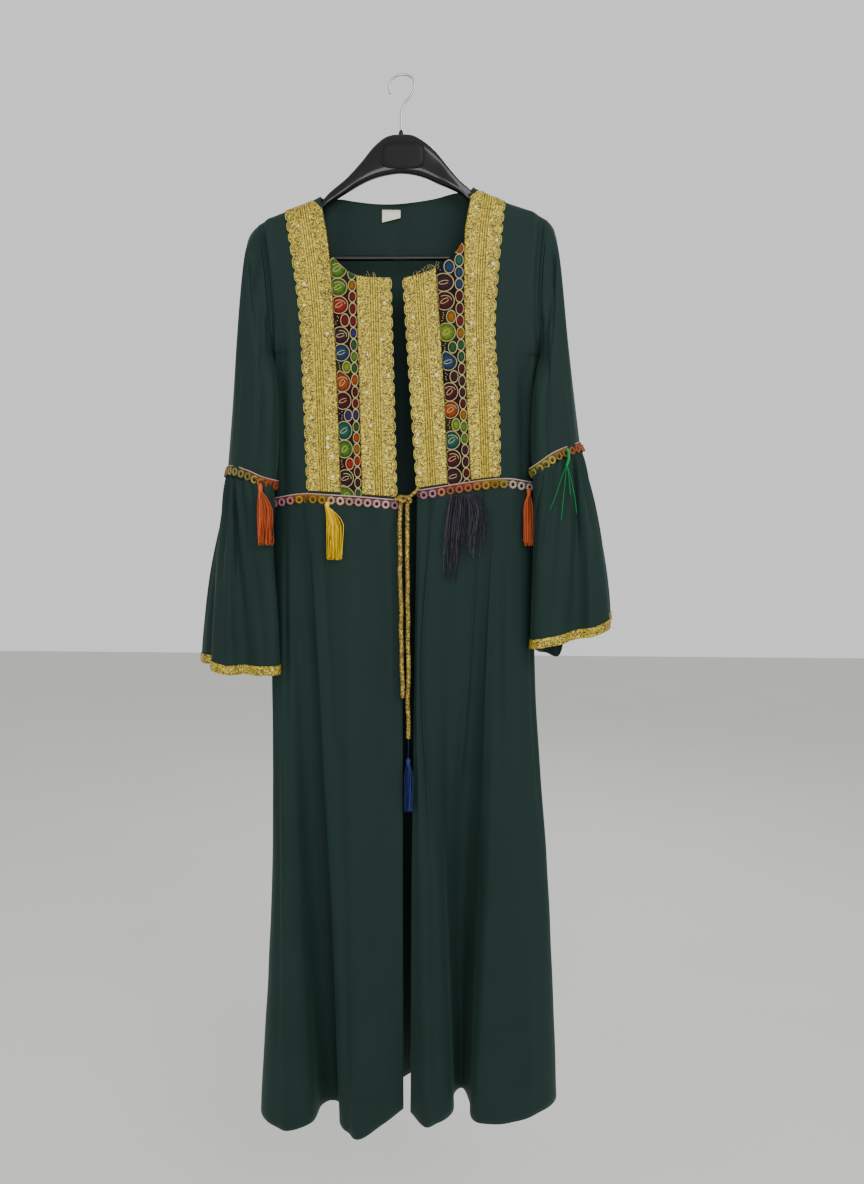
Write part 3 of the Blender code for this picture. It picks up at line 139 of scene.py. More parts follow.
# The skirt's section runs from the left front edge round the back to the right front edge,
# over ridges and valleys.
Fold = namedtuple("Fold", "waist_x hip_x hip_y knee_x knee_y hem_x hem_y drop")
LEFT_FOLDS = rows_of(
    Fold,
    (-3, 6, -35, 9, -42, 12, -36, -16), (-26, -18, -35, -14, -46, -22, -56, -2),
    (-58, -62, -38, -58, -54, -58, -72, 10), (-128, -112, -34, -96, -46, -87, -47, 4),
    (-136, -123, -25, -104, -20, -91, -6, 0), (-146, -136, -20, -121, -10, -106, 4, 0),
    (-156, -148, -23, -137, -20, -121, -9, 0), (-164, -160, -29, -150, -38, -131, -48, 0),
    (-175, -176, -27, -174, -44, -172, -62, 4), (-186, -188, -15, -191, -26, -206, -40, 0),
    (-190, -193, 0, -197, -2, -217, -8, 0),
)
BACK_FOLDS = rows_of(
    Fold,
    (-186, -188, 16, -191, 22, -206, 30, 0), (-168, -167, 30, -166, 48, -170, 62, 0),
    (-138, -130, 25, -122, 36, -116, 48, 0), (-96, -86, 34, -74, 56, -62, 80, 0),
    (-50, -42, 26, -28, 40, -10, 56, 0), (-4, 4, 34, 20, 58, 38, 86, 0), (44, 46, 27, 64, 48, 86, 70, 0),
    (92, 90, 35, 106, 62, 130, 90, 0), (138, 134, 27, 148, 46, 172, 66, 0),
    (178, 176, 32, 194, 52, 212, 76, -6), (198, 203, 17, 229, 30, 252, 52, -12),
)
RIGHT_FOLDS = rows_of(
    Fold,
    (202, 207, 0, 235, 6, 259, 22, -15), (198, 203, -16, 231, -20, 254, -12, -14),
    (186, 188, -27, 206, -36, 224, -36, -11), (164, 160, -34, 166, -45, 166, -48, 0),
    (144, 137, -32, 132, -38, 121, -38, 0), (136, 127, -24, 121, -12, 116, 4, 0),
    (126, 114, -18, 102, 4, 107, 36, 0), (112, 96, -21, 82, -8, 93, 22, 0),
    (60, 42, -34, 67, -40, 88, -24, 0), (42, 32, -36, 46, -50, 50, -56, 1),
    (26, 24, -33, 22, -40, 22, -33, -8),
)
FOLDS = LEFT_FOLDS + BACK_FOLDS + RIGHT_FOLDS
LEFT_SEAM = len(LEFT_FOLDS) - 1
RIGHT_SEAM = len(LEFT_FOLDS) + len(BACK_FOLDS)

# Small gathers below the waist seam: where along the folds, how deep, how far down.
Gather = namedtuple("Gather", "place depth reach")
GATHERS = rows_of(
    Gather,
    (1, 2.4, 60), (2, -2.6, 90), (2.5, 2.6, 70), (4, 1.8, 60), (12.5, 2.2, 60), (13.5, -2, 80),
    (14.5, 2.4, 70), (15.5, -2.2, 60), (16.5, 2.4, 90), (17.5, -2, 60), (18.5, 2.2, 80), (19.5, 2.4, 60),
    (23.5, 1.8, 60), (25, 2.4, 80), (28.5, -2.6, 80), (30, 2.6, 70), (31, -2.2, 60),
)

Ring = namedtuple("Ring", "outer_x outer_z inner_x inner_z front back lean")
LEFT_RINGS = rows_of(
    Ring,
    (-221, -224, -190, -402, 28, 28, 4), (-228, -254, -189, -420, 30, 31, 14),
    (-239, -360, -186, -462, 30, 34, 27), (-248, -470, -186, -532, 27, 36, 35),
    (-257, -566, -187, -582, 26, 36, 41),
)
RIGHT_RINGS = rows_of(
    Ring,
    (223, -212, 207, -402, 28, 28, 4), (230, -246, 206, -418, 30, 31, 14),
    (243, -350, 203, -452, 30, 34, 27), (257, -450, 201, -510, 27, 36, 34),
    (268, -524, 201, -558, 26, 36, 38),
)
LEFT_RISE = ((0, 0), (35, 5), (65, 7.5), (90, 6), (130, 2), (180, 1), (270, 0), (360, 0))
RIGHT_RISE = ((0, 0), (60, 4), (100, 6), (140, 3), (180, 0), (270, 0), (360, 0))

# The corners, ridges and valleys round each flare's hem.
LEFT_FLARE = (
    (-284, -12, -853), (-277, -38, -856), (-252, -50, -860), (-226, -42, -860), (-200, -54, -860),
    (-176, -47, -859), (-191, -26, -858), (-201, 4, -857), (-204, 30, -857), (-222, 38, -856),
    (-244, 52, -855), (-268, 40, -855), (-292, 46, -854), (-307, 24, -853), (-298, 4, -853),
)
RIGHT_FLARE = (
    (320, -14, -783), (310, -40, -789), (286, -52, -798), (260, -42, -804), (232, -54, -811),
    (200, -46, -818), (205, -28, -821), (213, -4, -827), (218, 22, -834), (230, 44, -839), (250, 46, -844),
    (260, 40, -812), (288, 48, -798), (314, 32, -787), (322, 10, -782),
)
FLARE_SPREAD = 1.6
# The elbow trims stand out over the sleeve's and the flare's inner creases: how far, where and
# how wide, as shares of the way round.
ELBOW_BULGES = ((8.5, 0.487, 0.095), (10.1, 0.4, 0.1))

# Creases, listed one by one. A line over a panel from one place and row to another, how far it
# stands out (in, where negative) and how wide it is, in the panel's own columns.
Crease = namedtuple("Crease", "from_i to_i from_j to_j out wide")
SKIRT_CREASES = rows_of(
    Crease,
    (0.7, 0.9, 0.03, 0.45, 2.2, 0.28), (1.6, 1.4, 0.06, 0.85, -2.4, 0.3), (2.3, 2.2, 0.03, 0.62, 2, 0.16),
    (2.6, 2.45, 0.3, 1.25, -3, 0.2), (2.8, 2.75, 0.02, 0.4, -2.2, 0.1), (3.3, 3.2, 0.1, 0.7, 1.8, 0.22),
    (5.2, 5, 0.15, 0.95, 2.2, 0.4), (7.4, 7.6, 0.04, 0.5, -1.6, 0.26), (8.4, 8.3, 0.25, 1.3, -2.6, 0.28),
    (9.2, 9, 0.05, 0.55, 1.8, 0.3), (11.6, 11.8, 0.1, 0.9, 2, 0.3), (12.7, 12.4, 0.03, 0.5, -2.4, 0.2),
    (13.3, 13.2, 0.2, 1.2, 2.6, 0.26), (14.2, 14.4, 0.02, 0.65, -2.2, 0.18),
    (15.2, 15.1, 0.3, 1.3, -2.8, 0.26), (16.4, 16.6, 0.03, 0.58, 2.2, 0.2),
    (17.3, 17.2, 0.15, 0.95, -2, 0.24), (18.8, 18.6, 0.04, 0.75, 2.4, 0.22),
    (19.3, 19.4, 0.35, 1.3, -2.6, 0.28), (20.5, 20.4, 0.03, 0.52, 2, 0.24),
    (21.3, 21.4, 0.12, 0.88, -2.2, 0.3), (23.3, 23.2, 0.05, 0.6, -1.8, 0.26),
    (24.2, 24.4, 0.25, 1.25, 2.4, 0.26), (25.3, 25.2, 0.03, 0.48, -2.2, 0.16),
    (25.7, 25.8, 0.35, 1.2, 2, 0.24), (26.5, 26.4, 0.1, 0.62, 1.6, 0.22),
    (28.6, 28.6, 0.03, 0.46, 2.2, 0.16), (29.4, 29.3, 0.08, 0.7, -2.4, 0.16),
    (30.3, 30.5, 0.03, 0.55, 2.2, 0.2), (30.8, 30.6, 0.3, 1.25, -2.8, 0.24),
    (31.5, 31.4, 0.05, 0.8, 2, 0.26),
)
SLEEVE_CREASES = rows_of(
    Crease,
    (0.48, 0.49, -0.6, 7.6, 7, 0.095), (0.17, 0.27, 0.1, 2.6, -4.5, 0.04), (0.29, 0.36, 0, 1.9, 3.4, 0.03),
    (0.12, 0.16, 0.8, 5.6, 2.6, 0.045), (0.36, 0.3, 1.6, 5.5, -3.2, 0.035), (0.22, 0.2, 2.8, 5.4, 2.2, 0.03),
    (0.43, 0.41, 1.2, 4.6, 2.4, 0.03), (0.06, 0.03, 0.4, 3, -2, 0.04), (0.6, 0.66, 0.1, 2.8, -3.6, 0.04),
    (0.72, 0.7, 0.6, 5.4, 3, 0.04), (0.82, 0.86, 1.4, 5.5, -2.8, 0.045), (0.93, 0.92, 0.3, 3.4, 2.2, 0.04),
    (0.53, 0.55, 2.2, 5.2, 2, 0.03),
)
FLARE_CREASES = rows_of(
    Crease,
    (7.4, 5, -1.4, 1.9, 7.4, 1.6), (5.8, 4.5, 0.05, 1.9, -4, 0.45), (0.2, 0, 0.05, 1.4, -5, 0.5),
    (15.2, 15, 0.05, 1.4, -5, 0.5), (1.2, 1.1, -0.12, 0.26, 2.6, 0.14), (1.7, 1.75, -0.12, 0.4, -2.6, 0.15),
    (2.2, 2.2, -0.12, 0.22, 2.4, 0.12), (2.6, 2.7, -0.12, 0.5, -2.8, 0.14), (3, 3.1, -0.12, 0.3, 2.6, 0.13),
    (3.5, 3.4, -0.12, 0.44, -2.6, 0.15), (3.9, 4, -0.12, 0.2, 2.4, 0.12),
    (4.4, 4.3, -0.12, 0.36, -2.4, 0.14), (9, 9.1, -0.12, 0.34, -2.4, 0.15),
    (10.1, 10, -0.12, 0.26, 2.4, 0.14), (11, 11.1, -0.12, 0.42, -2.6, 0.15),
    (12.1, 12, -0.12, 0.28, 2.4, 0.14), (13.2, 13.3, -0.12, 0.38, -2.4, 0.15),
    (0.8, 0.5, 0.02, 0.7, 2.4, 0.2), (1.4, 1.5, 0, 0.55, -2.6, 0.18), (1.9, 2.3, 0.03, 1.2, 2.6, 0.26),
    (2.5, 2.8, 0, 0.6, -2.4, 0.16), (3.2, 3.4, 0.02, 0.85, 2.2, 0.2), (3.8, 4.3, 0.1, 1.25, -2.6, 0.24),
    (4.6, 4.7, 0, 0.5, 2.2, 0.16), (6.5, 6.4, 0.05, 0.8, -2, 0.24), (8.5, 8.6, 0.02, 0.75, 2.4, 0.22),
    (9.4, 9.6, 0, 1.15, -2.6, 0.24), (10.6, 10.5, 0.03, 0.6, 2.4, 0.18), (11.5, 11.7, 0.1, 1.2, 2.4, 0.26),
    (12.6, 12.4, 0, 0.65, -2.4, 0.2), (13.7, 13.6, 0.04, 0.8, 2.2, 0.24),
)
FRONT_CREASES = rows_of(
    Crease,
    (0.9, 1.6, 4.4, 11, -2.6, 0.5), (1.9, 2.6, 7, 13, 1.8, 0.45), (1.2, 1.5, 0.3, 6, 1.8, 0.45),
    (2.6, 2.4, -0.6, 3.4, -1.8, 0.4), (3.3, 3.2, 0.5, 6.5, 1.4, 0.3),
)
BACK_CREASES = rows_of(
    Crease,
    (3.4, 4.6, 5, 12, -2.8, 0.6), (16.8, 15.6, 4.6, 12, -2.8, 0.6), (5.6, 5.2, -0.5, 5, 2.4, 0.5),
    (8.2, 8.6, -0.5, 6.4, -2.2, 0.55), (10.6, 10.2, -0.4, 4.2, 2.4, 0.45), (12.6, 12.9, -0.5, 6.8, -2, 0.55),
    (15, 15.2, -0.4, 5.2, 2.4, 0.5), (9.8, 10.4, 6.5, 13.2, 1.8, 0.8),
)

LEFT_CORD_ROUTE = (
    (3, -38.5, -605.5), (1.5, -39.5, -630), (1.5, -40.5, -655), (2.5, -41.5, -682), (2, -42.5, -710),
    (3.5, -43, -738), (4.5, -43.5, -766), (4, -44.5, -794), (5.5, -45, -820), (5.5, -46, -846),
    (7, -46.5, -870), (7, -47, -893),
)
RIGHT_CORD_ROUTE = (
    (12, -39, -607), (12.5, -40, -630), (12.5, -40.5, -658), (12.5, -41.5, -688), (13.5, -42.5, -718),
    (13.5, -43, -748), (14.5, -44, -778), (14, -44.5, -808), (15.5, -45.5, -838), (15.5, -46.5, -868),
    (14.5, -47, -898), (16, -47.5, -927), (16, -48, -954),
)
# The knot's two strands, each from its front's trim over the other and down to its free end.
LEFT_KNOT = (
    (-6, -34.6, -602), (0, -37, -599.5), (7, -40, -597), (13.5, -42.2, -598.5), (16.8, -41, -602.5),
    (14.5, -38.6, -605), (12.2, -38.8, -607.2),
)
RIGHT_KNOT = (
    (28, -34.6, -584.5), (24, -36.4, -589.5), (19, -38.4, -594), (12.5, -39, -599.5), (6, -41.6, -603.5),
    (1, -41, -601), (0.2, -38, -597.5), (4.6, -35.4, -597), (6.4, -36.6, -601.5), (3.4, -38.4, -605.8),
)

Arm = namedtuple("Arm", "x top bottom half")
ARMS = (
    (-198, -212, -226, 6), (-192, -207, -229, 8), (-160, -193, -216, 8.5), (-126, -178.5, -199, 7),
    (-114, -171.5, -185, 5), (-103, -160.5, -175, 5), (-89, -149.5, -167, 6.5), (-77, -139.5, -160, 7.5),
    (-58, -119, -149, 7.5), (-40, -97.5, -141, 8), (-21, -83, -136, 8), (-2, -80, -133.5, 8),
    (16, -81, -135, 8), (34, -90.5, -139.5, 8), (52, -106, -147, 7.5), (68, -125, -153, 7.5),
    (84, -142.5, -160, 6.5), (95, -151, -168, 4), (106, -159.5, -176, 4), (120, -166.5, -187, 7),
    (155, -180, -203, 8.5), (192, -194.5, -217, 8), (200, -200.5, -213, 6),
)
# An arm's rounded end: how much of its section is left, and how far out.
ARM_END = ((0.86, 1.4), (0.5, 2.2), (0.01, 2.4))
BAR_ROUTE = (
    (-176, -224.4), (-175, -239), (-168, -251), (-152, -253), (0, -251.25), (150, -249.5), (166, -247.5),
    (173, -235.5), (174, -212),
)
HOOK_ROUTE = (
    (-1, -74), (-1, -60), (-0.8, -48), (4, -37), (12.5, -26.5), (18, -14), (15.5, -3.5), (8.5, 1), (0, 1.75),
    (-9, -0.5), (-15.5, -6.5), (-18.5, -15), (-17, -24),
)
PLAQUE_HALF = (32, 19)
PLAQUE_AT = (1.5, -110.5)
# The plaque's face, from its edge in: distance in and height.
PLATE_PROFILE = (
    (0, 0), (0, 1.1), (0.35, 1.6), (1.3, 1.6), (1.8, 1), (2.3, 1), (2.8, 1.4), (8, 1.45), (16, 1.5),
    (18.8, 1.5),
)
# The hook's seat: radius and height.
NUB_AT = (-1, 0, -90.3)
NUB_PROFILE = ((4.4, 0), (4.2, 6), (3.6, 12), (2.9, 15.4), (2.2, 16), (0.2, 16.1))

CREAM = (0.46, 0.38, 0.17)
PALETTE = {
    "lime": (0.13, 0.22, 0.008), "leaf": (0.065, 0.16, 0.008), "moss": (0.012, 0.07, 0.018),
    "red": (0.24, 0.012, 0.004), "crimson": (0.12, 0.003, 0.006), "maroon": (0.055, 0.003, 0.006),
    "plum": (0.032, 0.005, 0.013), "indigo": (0.022, 0.014, 0.095), "blue": (0.008, 0.036, 0.095),
    "teal": (0.006, 0.085, 0.06), "rust": (0.28, 0.045, 0.003), "amber": (0.24, 0.095, 0.002),
}
# Ornaments: their width as a share of the strip's, height, place across, and least share of it.
KINDS = {
    "oval": (0.168, 8.7, 0.83, 0.92), "pip": (0.2, 9.3, 0.47, 0.94),
    "eye": (0.395, 13.2, 0.25, 0.94), "drop": (0.395, 13.2, 0.25, 0.94),
}
# Ornaments down each embroidered strip: the wide column's colours and kinds, then the narrow one's.
WIDE_LEFT = [pair.split() for pair in (
    "leaf drop, leaf eye, red eye, crimson pip, plum eye, blue eye, lime pip, rust drop, "
    "maroon eye, indigo pip, teal eye, leaf eye, red pip, plum eye"
).split(", ")]
WIDE_RIGHT = [pair.split() for pair in (
    "blue pip, plum eye, maroon eye, amber pip, lime eye, moss pip, blue drop, plum pip, "
    "maroon eye, rust eye, lime pip, teal eye, maroon eye, plum eye"
).split(", ")]
NARROW_LEFT = [(colour, "oval") for colour in (
    "moss amber crimson crimson crimson indigo moss leaf moss rust maroon crimson indigo moss "
    "rust amber red maroon plum"
).split()]
NARROW_RIGHT = [(colour, "oval") for colour in (
    "rust teal blue blue maroon maroon crimson amber moss moss maroon plum plum maroon amber "
    "leaf leaf plum plum maroon plum"
).split()]

# Colours along each looped trim: the share of its length, the ribbon's colour and the loops'.
Shade = namedtuple("Shade", "share ribbon loops")
WAIST_LEFT_SHADES = rows_of(
    Shade,
    (0, (0.07, 0.0075, 0.016), (0.509, 0.295, 0.333)), (0.46, (0.082, 0.012, 0.015), (0.594, 0.409, 0.266)),
    (0.54, (0.192, 0.087, 0.013), (0.358, 0.226, 0.022)), (0.76, (0.221, 0.08, 0.012), (0.352, 0.196, 0.02)),
    (0.84, (0.076, 0.0075, 0.016), (0.407, 0.168, 0.197)),
    (1, (0.051, 0.0058, 0.016), (0.354, 0.168, 0.227)),
)
WAIST_RIGHT_SHADES = rows_of(
    Shade,
    (0, (0.037, 0.0083, 0.038), (0.399, 0.325, 0.396)), (0.26, (0.043, 0.021, 0.035), (0.509, 0.446, 0.295)),
    (0.31, (0.224, 0.136, 0.017), (0.333, 0.223, 0.024)),
    (0.48, (0.237, 0.093, 0.013), (0.327, 0.186, 0.022)),
    (0.58, (0.166, 0.017, 0.016), (0.391, 0.127, 0.047)),
    (0.8, (0.107, 0.0075, 0.016), (0.382, 0.156, 0.075)),
    (0.86, (0.07, 0.0072, 0.019), (0.384, 0.187, 0.226)),
)
ELBOW_LEFT_SHADES = rows_of(
    Shade,
    (0, (0.131, 0.011, 0.015), (0.179, 0.032, 0.032)), (0.13, (0.074, 0.022, 0.013), (0.295, 0.256, 0.078)),
    (0.3, (0.078, 0.049, 0.013), (0.294, 0.237, 0.055)), (0.39, (0.22, 0.047, 0.011), (0.29, 0.084, 0.02)),
    (0.5, (0.22, 0.03, 0.012), (0.286, 0.063, 0.021)), (0.75, (0.069, 0.013, 0.035), (0.335, 0.23, 0.258)),
    (1, (0.131, 0.011, 0.015), (0.179, 0.032, 0.032)),
)
ELBOW_RIGHT_SHADES = rows_of(
    Shade,
    (0, (0.206, 0.016, 0.02), (0.29, 0.065, 0.05)), (0.15, (0.266, 0.052, 0.01), (0.313, 0.097, 0.024)),
    (0.28, (0.125, 0.082, 0.015), (0.319, 0.259, 0.057)),
    (0.46, (0.081, 0.083, 0.012), (0.295, 0.283, 0.049)),
    (0.75, (0.069, 0.013, 0.035), (0.335, 0.23, 0.258)), (1, (0.206, 0.016, 0.02), (0.29, 0.065, 0.05)),
)

# Tassels: a head and its half sizes, and how the threads fall. Left and right are the edges
# of the hanging threads, from the head's middle.
Tassel = namedtuple("Tassel", "name head half threads fall left right forward uneven full")
TASSELS = rows_of(
    Tassel,
    ("tassel_yellow", (-105, -35.4, -611), (3.4, 3.4, 5), 170, 79, -1, 22, 2.5, 13, 0.4),
    ("tassel_orange_waist", (190, -29, -590), (3.2, 3.2, 6), 130, 77, -6.5, 8.5, 4, 13, 0.34),
    ("tassel_orange_sleeve", (-197, -61.4, -588), (3.4, 3.4, 7), 150, 80, -4, 19, 5, 15, 0.45),
    ("tassel_blue", (16, -48.5, -991), (3.4, 3.4, 6), 110, 75, -5, 6.5, 0, 9, 0.34),
)

# A tassel's head: its radius and height down it, as shares of its half sizes.
HEAD_PROFILE = ((0.55, 1.12), (0.95, 0.6), (1, 0.1), (0.78, -0.35), (0.9, -0.8), (0.2, -0.95))
SILKS = {
    "yellow": (0.95, 0.54, 0), "orange": (0.45, 0.078, 0.02), "blue": (0.016, 0.028, 0.115),
    "charcoal": (0.027, 0.022, 0.031), "green": (0.0008, 0.22, 0.046),
}
# Where threads stray from the right flare's hem: place, and how far back each ends.
HEM_STRAYS = ((300, -47, -787, -50), (304, -47, -789, -50), (262, -47, -815, -50), (251, 44, -846, 40))
BLUE_HANGER = ((16, -48.2, -955), (16.2, -48.4, -968), (15.8, -48.4, -980), (16, -48.5, -988))
GREEN_LOOP = ((241, -48.5, -526), (243.5, -51, -533), (243, -52, -543), (240.5, -51.5, -551))
GREEN_TAILS = (
    ((240, -51.5, -551), (233, -53, -570), (224, -55, -598), (214, -56, -622)),
    ((240.5, -51.5, -551), (238.5, -54, -575), (236, -57, -603), (234, -58, -628)),
    ((241.5, -51.5, -551), (244, -52.5, -565), (245.5, -53.5, -580), (247, -54, -592)),
    ((242, -51.5, -551), (248, -54, -572), (253, -56, -596), (256, -57, -618)),
)


class ClothSizes(bpy.types.PropertyGroup):
    """The crepe cloth."""

    thick: FloatProperty(name="Cloth", description="Thickness of the crepe", default=0.0008, unit="LENGTH")
    crease: FloatProperty(
        name="Creases", description="How deep the creases are, as a share", default=1.4, min=0,
    )
    hem: FloatProperty(name="Hem", description="Depth of the turned hems", default=0.012, unit="LENGTH")
    colour: FloatVectorProperty(
        name="Cloth colour", description="Colour of the crepe", subtype="COLOR",
        default=(0.0057, 0.0182, 0.0148), min=0, max=1,
    )


class BraidSizes(bpy.types.PropertyGroup):
    """The gold braid and the embroidered strips."""

    lift: FloatProperty(
        name="Braid height", description="How far the braid stands off the cloth",
        default=0.0016, unit="LENGTH",
    )
    sequin: FloatProperty(name="Sequin", description="Width of a sequin", default=0.0052, unit="LENGTH")
    spacing: FloatProperty(
        name="Sequin spacing", description="Distance between sequins along a band",
        default=0.027, unit="LENGTH",
    )
    seed: IntProperty(name="Seed", description="Fixes where the sequins sit", default=7)
    gold: FloatVectorProperty(
        name="Gold", description="Colour of the metallic thread", subtype="COLOR",
        default=(0.314, 0.237, 0.023), min=0, max=1,
    )


class TrimSizes(bpy.types.PropertyGroup):
    """The looped trims, tie and tassels."""

    loop: FloatProperty(name="Loop", description="Width of a trim loop", default=0.0090, unit="LENGTH")
    thread: FloatProperty(
        name="Loop thread", description="Thickness of a loop's thread", default=0.0037, unit="LENGTH",
    )
    cord: FloatProperty(
        name="Tie cord", description="Thickness of the tie's cord", default=0.007, unit="LENGTH",
    )
    strand: FloatProperty(
        name="Tassel thread", description="Thickness of a tassel's thread", default=0.0011, unit="LENGTH",
    )


# Curves and surfaces

def through(rows, at):
    """Values at places along rows of (place, value), on a smooth curve through them."""
    places = np.array([row[0] for row in rows], float)
    return spline(places, np.array([row[1] for row in rows], float), at)


def spline(places, values, at):
    at = np.clip(np.asarray(at, float), places[0], places[-1])
    k = np.clip(np.searchsorted(places, at, side="right") - 1, 0, len(places) - 2)
    index = np.arange(len(places))
    before, after = np.maximum(index - 1, 0), np.minimum(index + 1, len(places) - 1)
    wider = (...,) + (None,) * (values.ndim - 1)
    slopes = (values[after] - values[before]) / (places[after] - places[before])[wider]
    step = np.asarray(places[k + 1] - places[k])
    f, step = ((at - places[k]) / step)[wider], step[wider]
    return (
        values[k] * (2 * f**3 - 3 * f**2 + 1) + slopes[k] * step * (f**3 - 2 * f**2 + f)
        + values[k + 1] * (3 * f**2 - 2 * f**3) + slopes[k + 1] * step * (f**3 - f**2)
    )


def turn(share, power=2.4):
    share = np.clip(share, 0.0, 1.0)
    return (1 - (1 - share) ** power) ** (1 / power)


def distances(path, axis=0):
    """How far along a path, or along each column of a grid, every point is."""
    steps = np.linalg.norm(np.diff(path, axis=axis), axis=-1)
    return np.insert(np.cumsum(steps, axis=axis), 0, 0.0, axis=axis)


def squared_circle(angle, power):
    """Cosines and sines drawn out towards a rounded square."""
    return (np.sign(way) * np.abs(way) ** power for way in (np.cos(angle), np.sin(angle)))


def between(lines, place_at):
    """Values between neighbouring lines, at places that run 0, 1, 2... over them."""
    lines = np.stack(np.broadcast_arrays(*lines), axis=-1)
    k = np.clip(np.floor(place_at).astype(int), 0, lines.shape[-1] - 2)
    k, f = np.broadcast_to(k, lines.shape[:-1]), np.broadcast_to(place_at - k, lines.shape[:-1])
    low, high = (np.take_along_axis(lines, k[..., None] + n, -1)[..., 0] for n in (0, 1))
    return low + (high - low) * f


def unit(v):
    v = np.asarray(v, float)
    return v / np.maximum(np.linalg.norm(v, axis=-1, keepdims=True), 1e-9)


def side_x(side, armhole, z):
    return np.where(z > UNDERARM_Z, through(armhole, z), through(side, z))


def shoulder_z(x):
    left, right = LEFT_SHOULDER[-1][0], RIGHT_SHOULDER[0][0]
    over = np.where(x > right, through(RIGHT_SHOULDER, x), through(BACK_NECK, x))
    return np.where(x < left, through(LEFT_SHOULDER, x), over)


def depth_at(x, z, face):
    """How far the cloth stands from the side seams' plane, front (-1) or back (+1)."""
    full = DEPTH * through(((-602, 1), (-400, 1), (-280, 0.92), (-160, 0.78)), z)
    left = x - side_x(LEFT_SIDE, LEFT_ARMHOLE, z)
    right = side_x(RIGHT_SIDE, RIGHT_ARMHOLE, z) - x
    from_edge = turn(np.maximum(np.minimum(left, right), 0.0) / SIDE_TURN)
    lift = np.where(z > UNDERARM_Z, turn((z - UNDERARM_Z) / 80.0, 2.0), 0.0)
    over = turn((shoulder_z(x) - z) / SHOULDER_TURN)
    if face > 0:
        inside = np.minimum(x - LEFT_SHOULDER[-1][0], RIGHT_SHOULDER[0][0] - x)
        free = np.where(inside > 0, 0.85 * turn(inside / 22.0, 2.2), 0.0)
        over = free + (1 - free) * over
    return full * over * (lift + (1 - lift) * from_edge)


def creased(points, normals, across, down, rows, share):
    """The panel's points moved out along its normals over each crease, fading at both its ends."""
    i, j = across[:, None], down[None, :]
    moved = np.zeros(points.shape[:2])
    for row in rows:
        t = (j - row.from_j) / (row.to_j - row.from_j)
        fade = np.sin(np.pi * np.clip(t, 0.0, 1.0)) ** 0.8
        centre = row.from_i + (row.to_i - row.from_i) * t
        moved += row.out * share * fade * np.exp(-(((i - centre) / row.wide) ** 2))
    return points + normals * moved[..., None]


class Panel:
    """A piece of cloth as a grid of outer points, with the places its columns and rows stand for."""

    def __init__(self, points, across, down, closed=False, faces_front=None, cells=None):
        self.points, self.across, self.down = points, np.asarray(across, float), np.asarray(down, float)
        self.closed, self.cells = closed, cells
        out = True
        if faces_front is not None:
            out = (self.find_normals()[..., 1].mean() < 0) == faces_front
        elif closed:
            out = ((points - points.mean(axis=0)) * self.find_normals()).sum() > 0
        self.face(out)

    def face(self, out):
        """Takes the grid's own normals as outward ones, or turns them round."""
        self.sign = 1.0 if out else -1.0
        self.normals = self.find_normals() * self.sign

    def find_normals(self):
        p = self.points
        if self.closed:
            along = np.roll(p, -1, axis=0) - np.roll(p, 1, axis=0)
        else:
            along = np.gradient(p, axis=0)
        return unit(np.cross(along, np.gradient(p, axis=1)))

    def crease(self, rows, share):
        self.points = creased(self.points, self.normals, self.across, self.down, rows, share)
        self.normals = self.find_normals() * self.sign

    def rumple(self, amount, scale):
        """Slow, shallow unevenness over the whole piece."""
        flat = self.points.reshape(-1, 3)
        moved = np.array([noise.noise(Vector(p) * scale) for p in flat]).reshape(self.points.shape[:2])
        self.points = self.points + self.normals * (moved * amount)[..., None]
        self.normals = self.find_normals() * self.sign

    def at(self, i, j, out=0.0):
        """Points on the panel at places across and down it, moved out, and their normals."""
        count = len(self.across)
        i, j = np.broadcast_arrays(np.asarray(i, float), np.asarray(j, float))
        if self.closed:
            fi = (i - self.across[0]) / (self.across[1] - self.across[0])
            i0 = np.floor(fi).astype(int)
        else:
            fi = np.interp(i, self.across, np.arange(count))
            i0 = np.clip(np.floor(fi).astype(int), 0, count - 2)
        fj = np.interp(j, self.down, np.arange(len(self.down)))
        j0 = np.clip(np.floor(fj).astype(int), 0, len(self.down) - 2)
        a, b = (fi - i0)[..., None], (fj - j0)[..., None]
        i0, i1 = i0 % count, (i0 + 1) % count

        def mix(grid):
            low = grid[i0, j0] * (1 - a) + grid[i1, j0] * a
            return low * (1 - b) + (grid[i0, j0 + 1] * (1 - a) + grid[i1, j0 + 1] * a) * b

        normal = unit(mix(self.normals))
        return mix(self.points) + normal * np.asarray(out, float)[..., None], normal

    def ring(self):
        """The points, with the first column again at the end where the panel is closed."""
        return np.concatenate([self.points, self.points[:1]]) if self.closed else self.points

    def cut(self):
        """The flat size the piece would be cut to: its greatest length across and down, in metres."""
        wide, tall = distances(self.ring())[-1].max(), distances(self.points, 1)[:, -1].max()
        return float(wide * MM), float(tall * MM)

    def area(self):
        """The piece's own area, in square metres."""
        ring = self.ring()
        a, b = ring[1:, :-1] - ring[:-1, 1:], ring[:-1, :-1] - ring[1:, 1:]
        each = np.linalg.norm(np.cross(a, b), axis=2) / 2
        return float((each if self.cells is None else each * self.cells).sum() * MM * MM)

    def mesh(self, name, uv=None, tint=None):
        return grid_mesh(name, self.points, self.closed, self.cells, self.sign < 0, tint, uv)


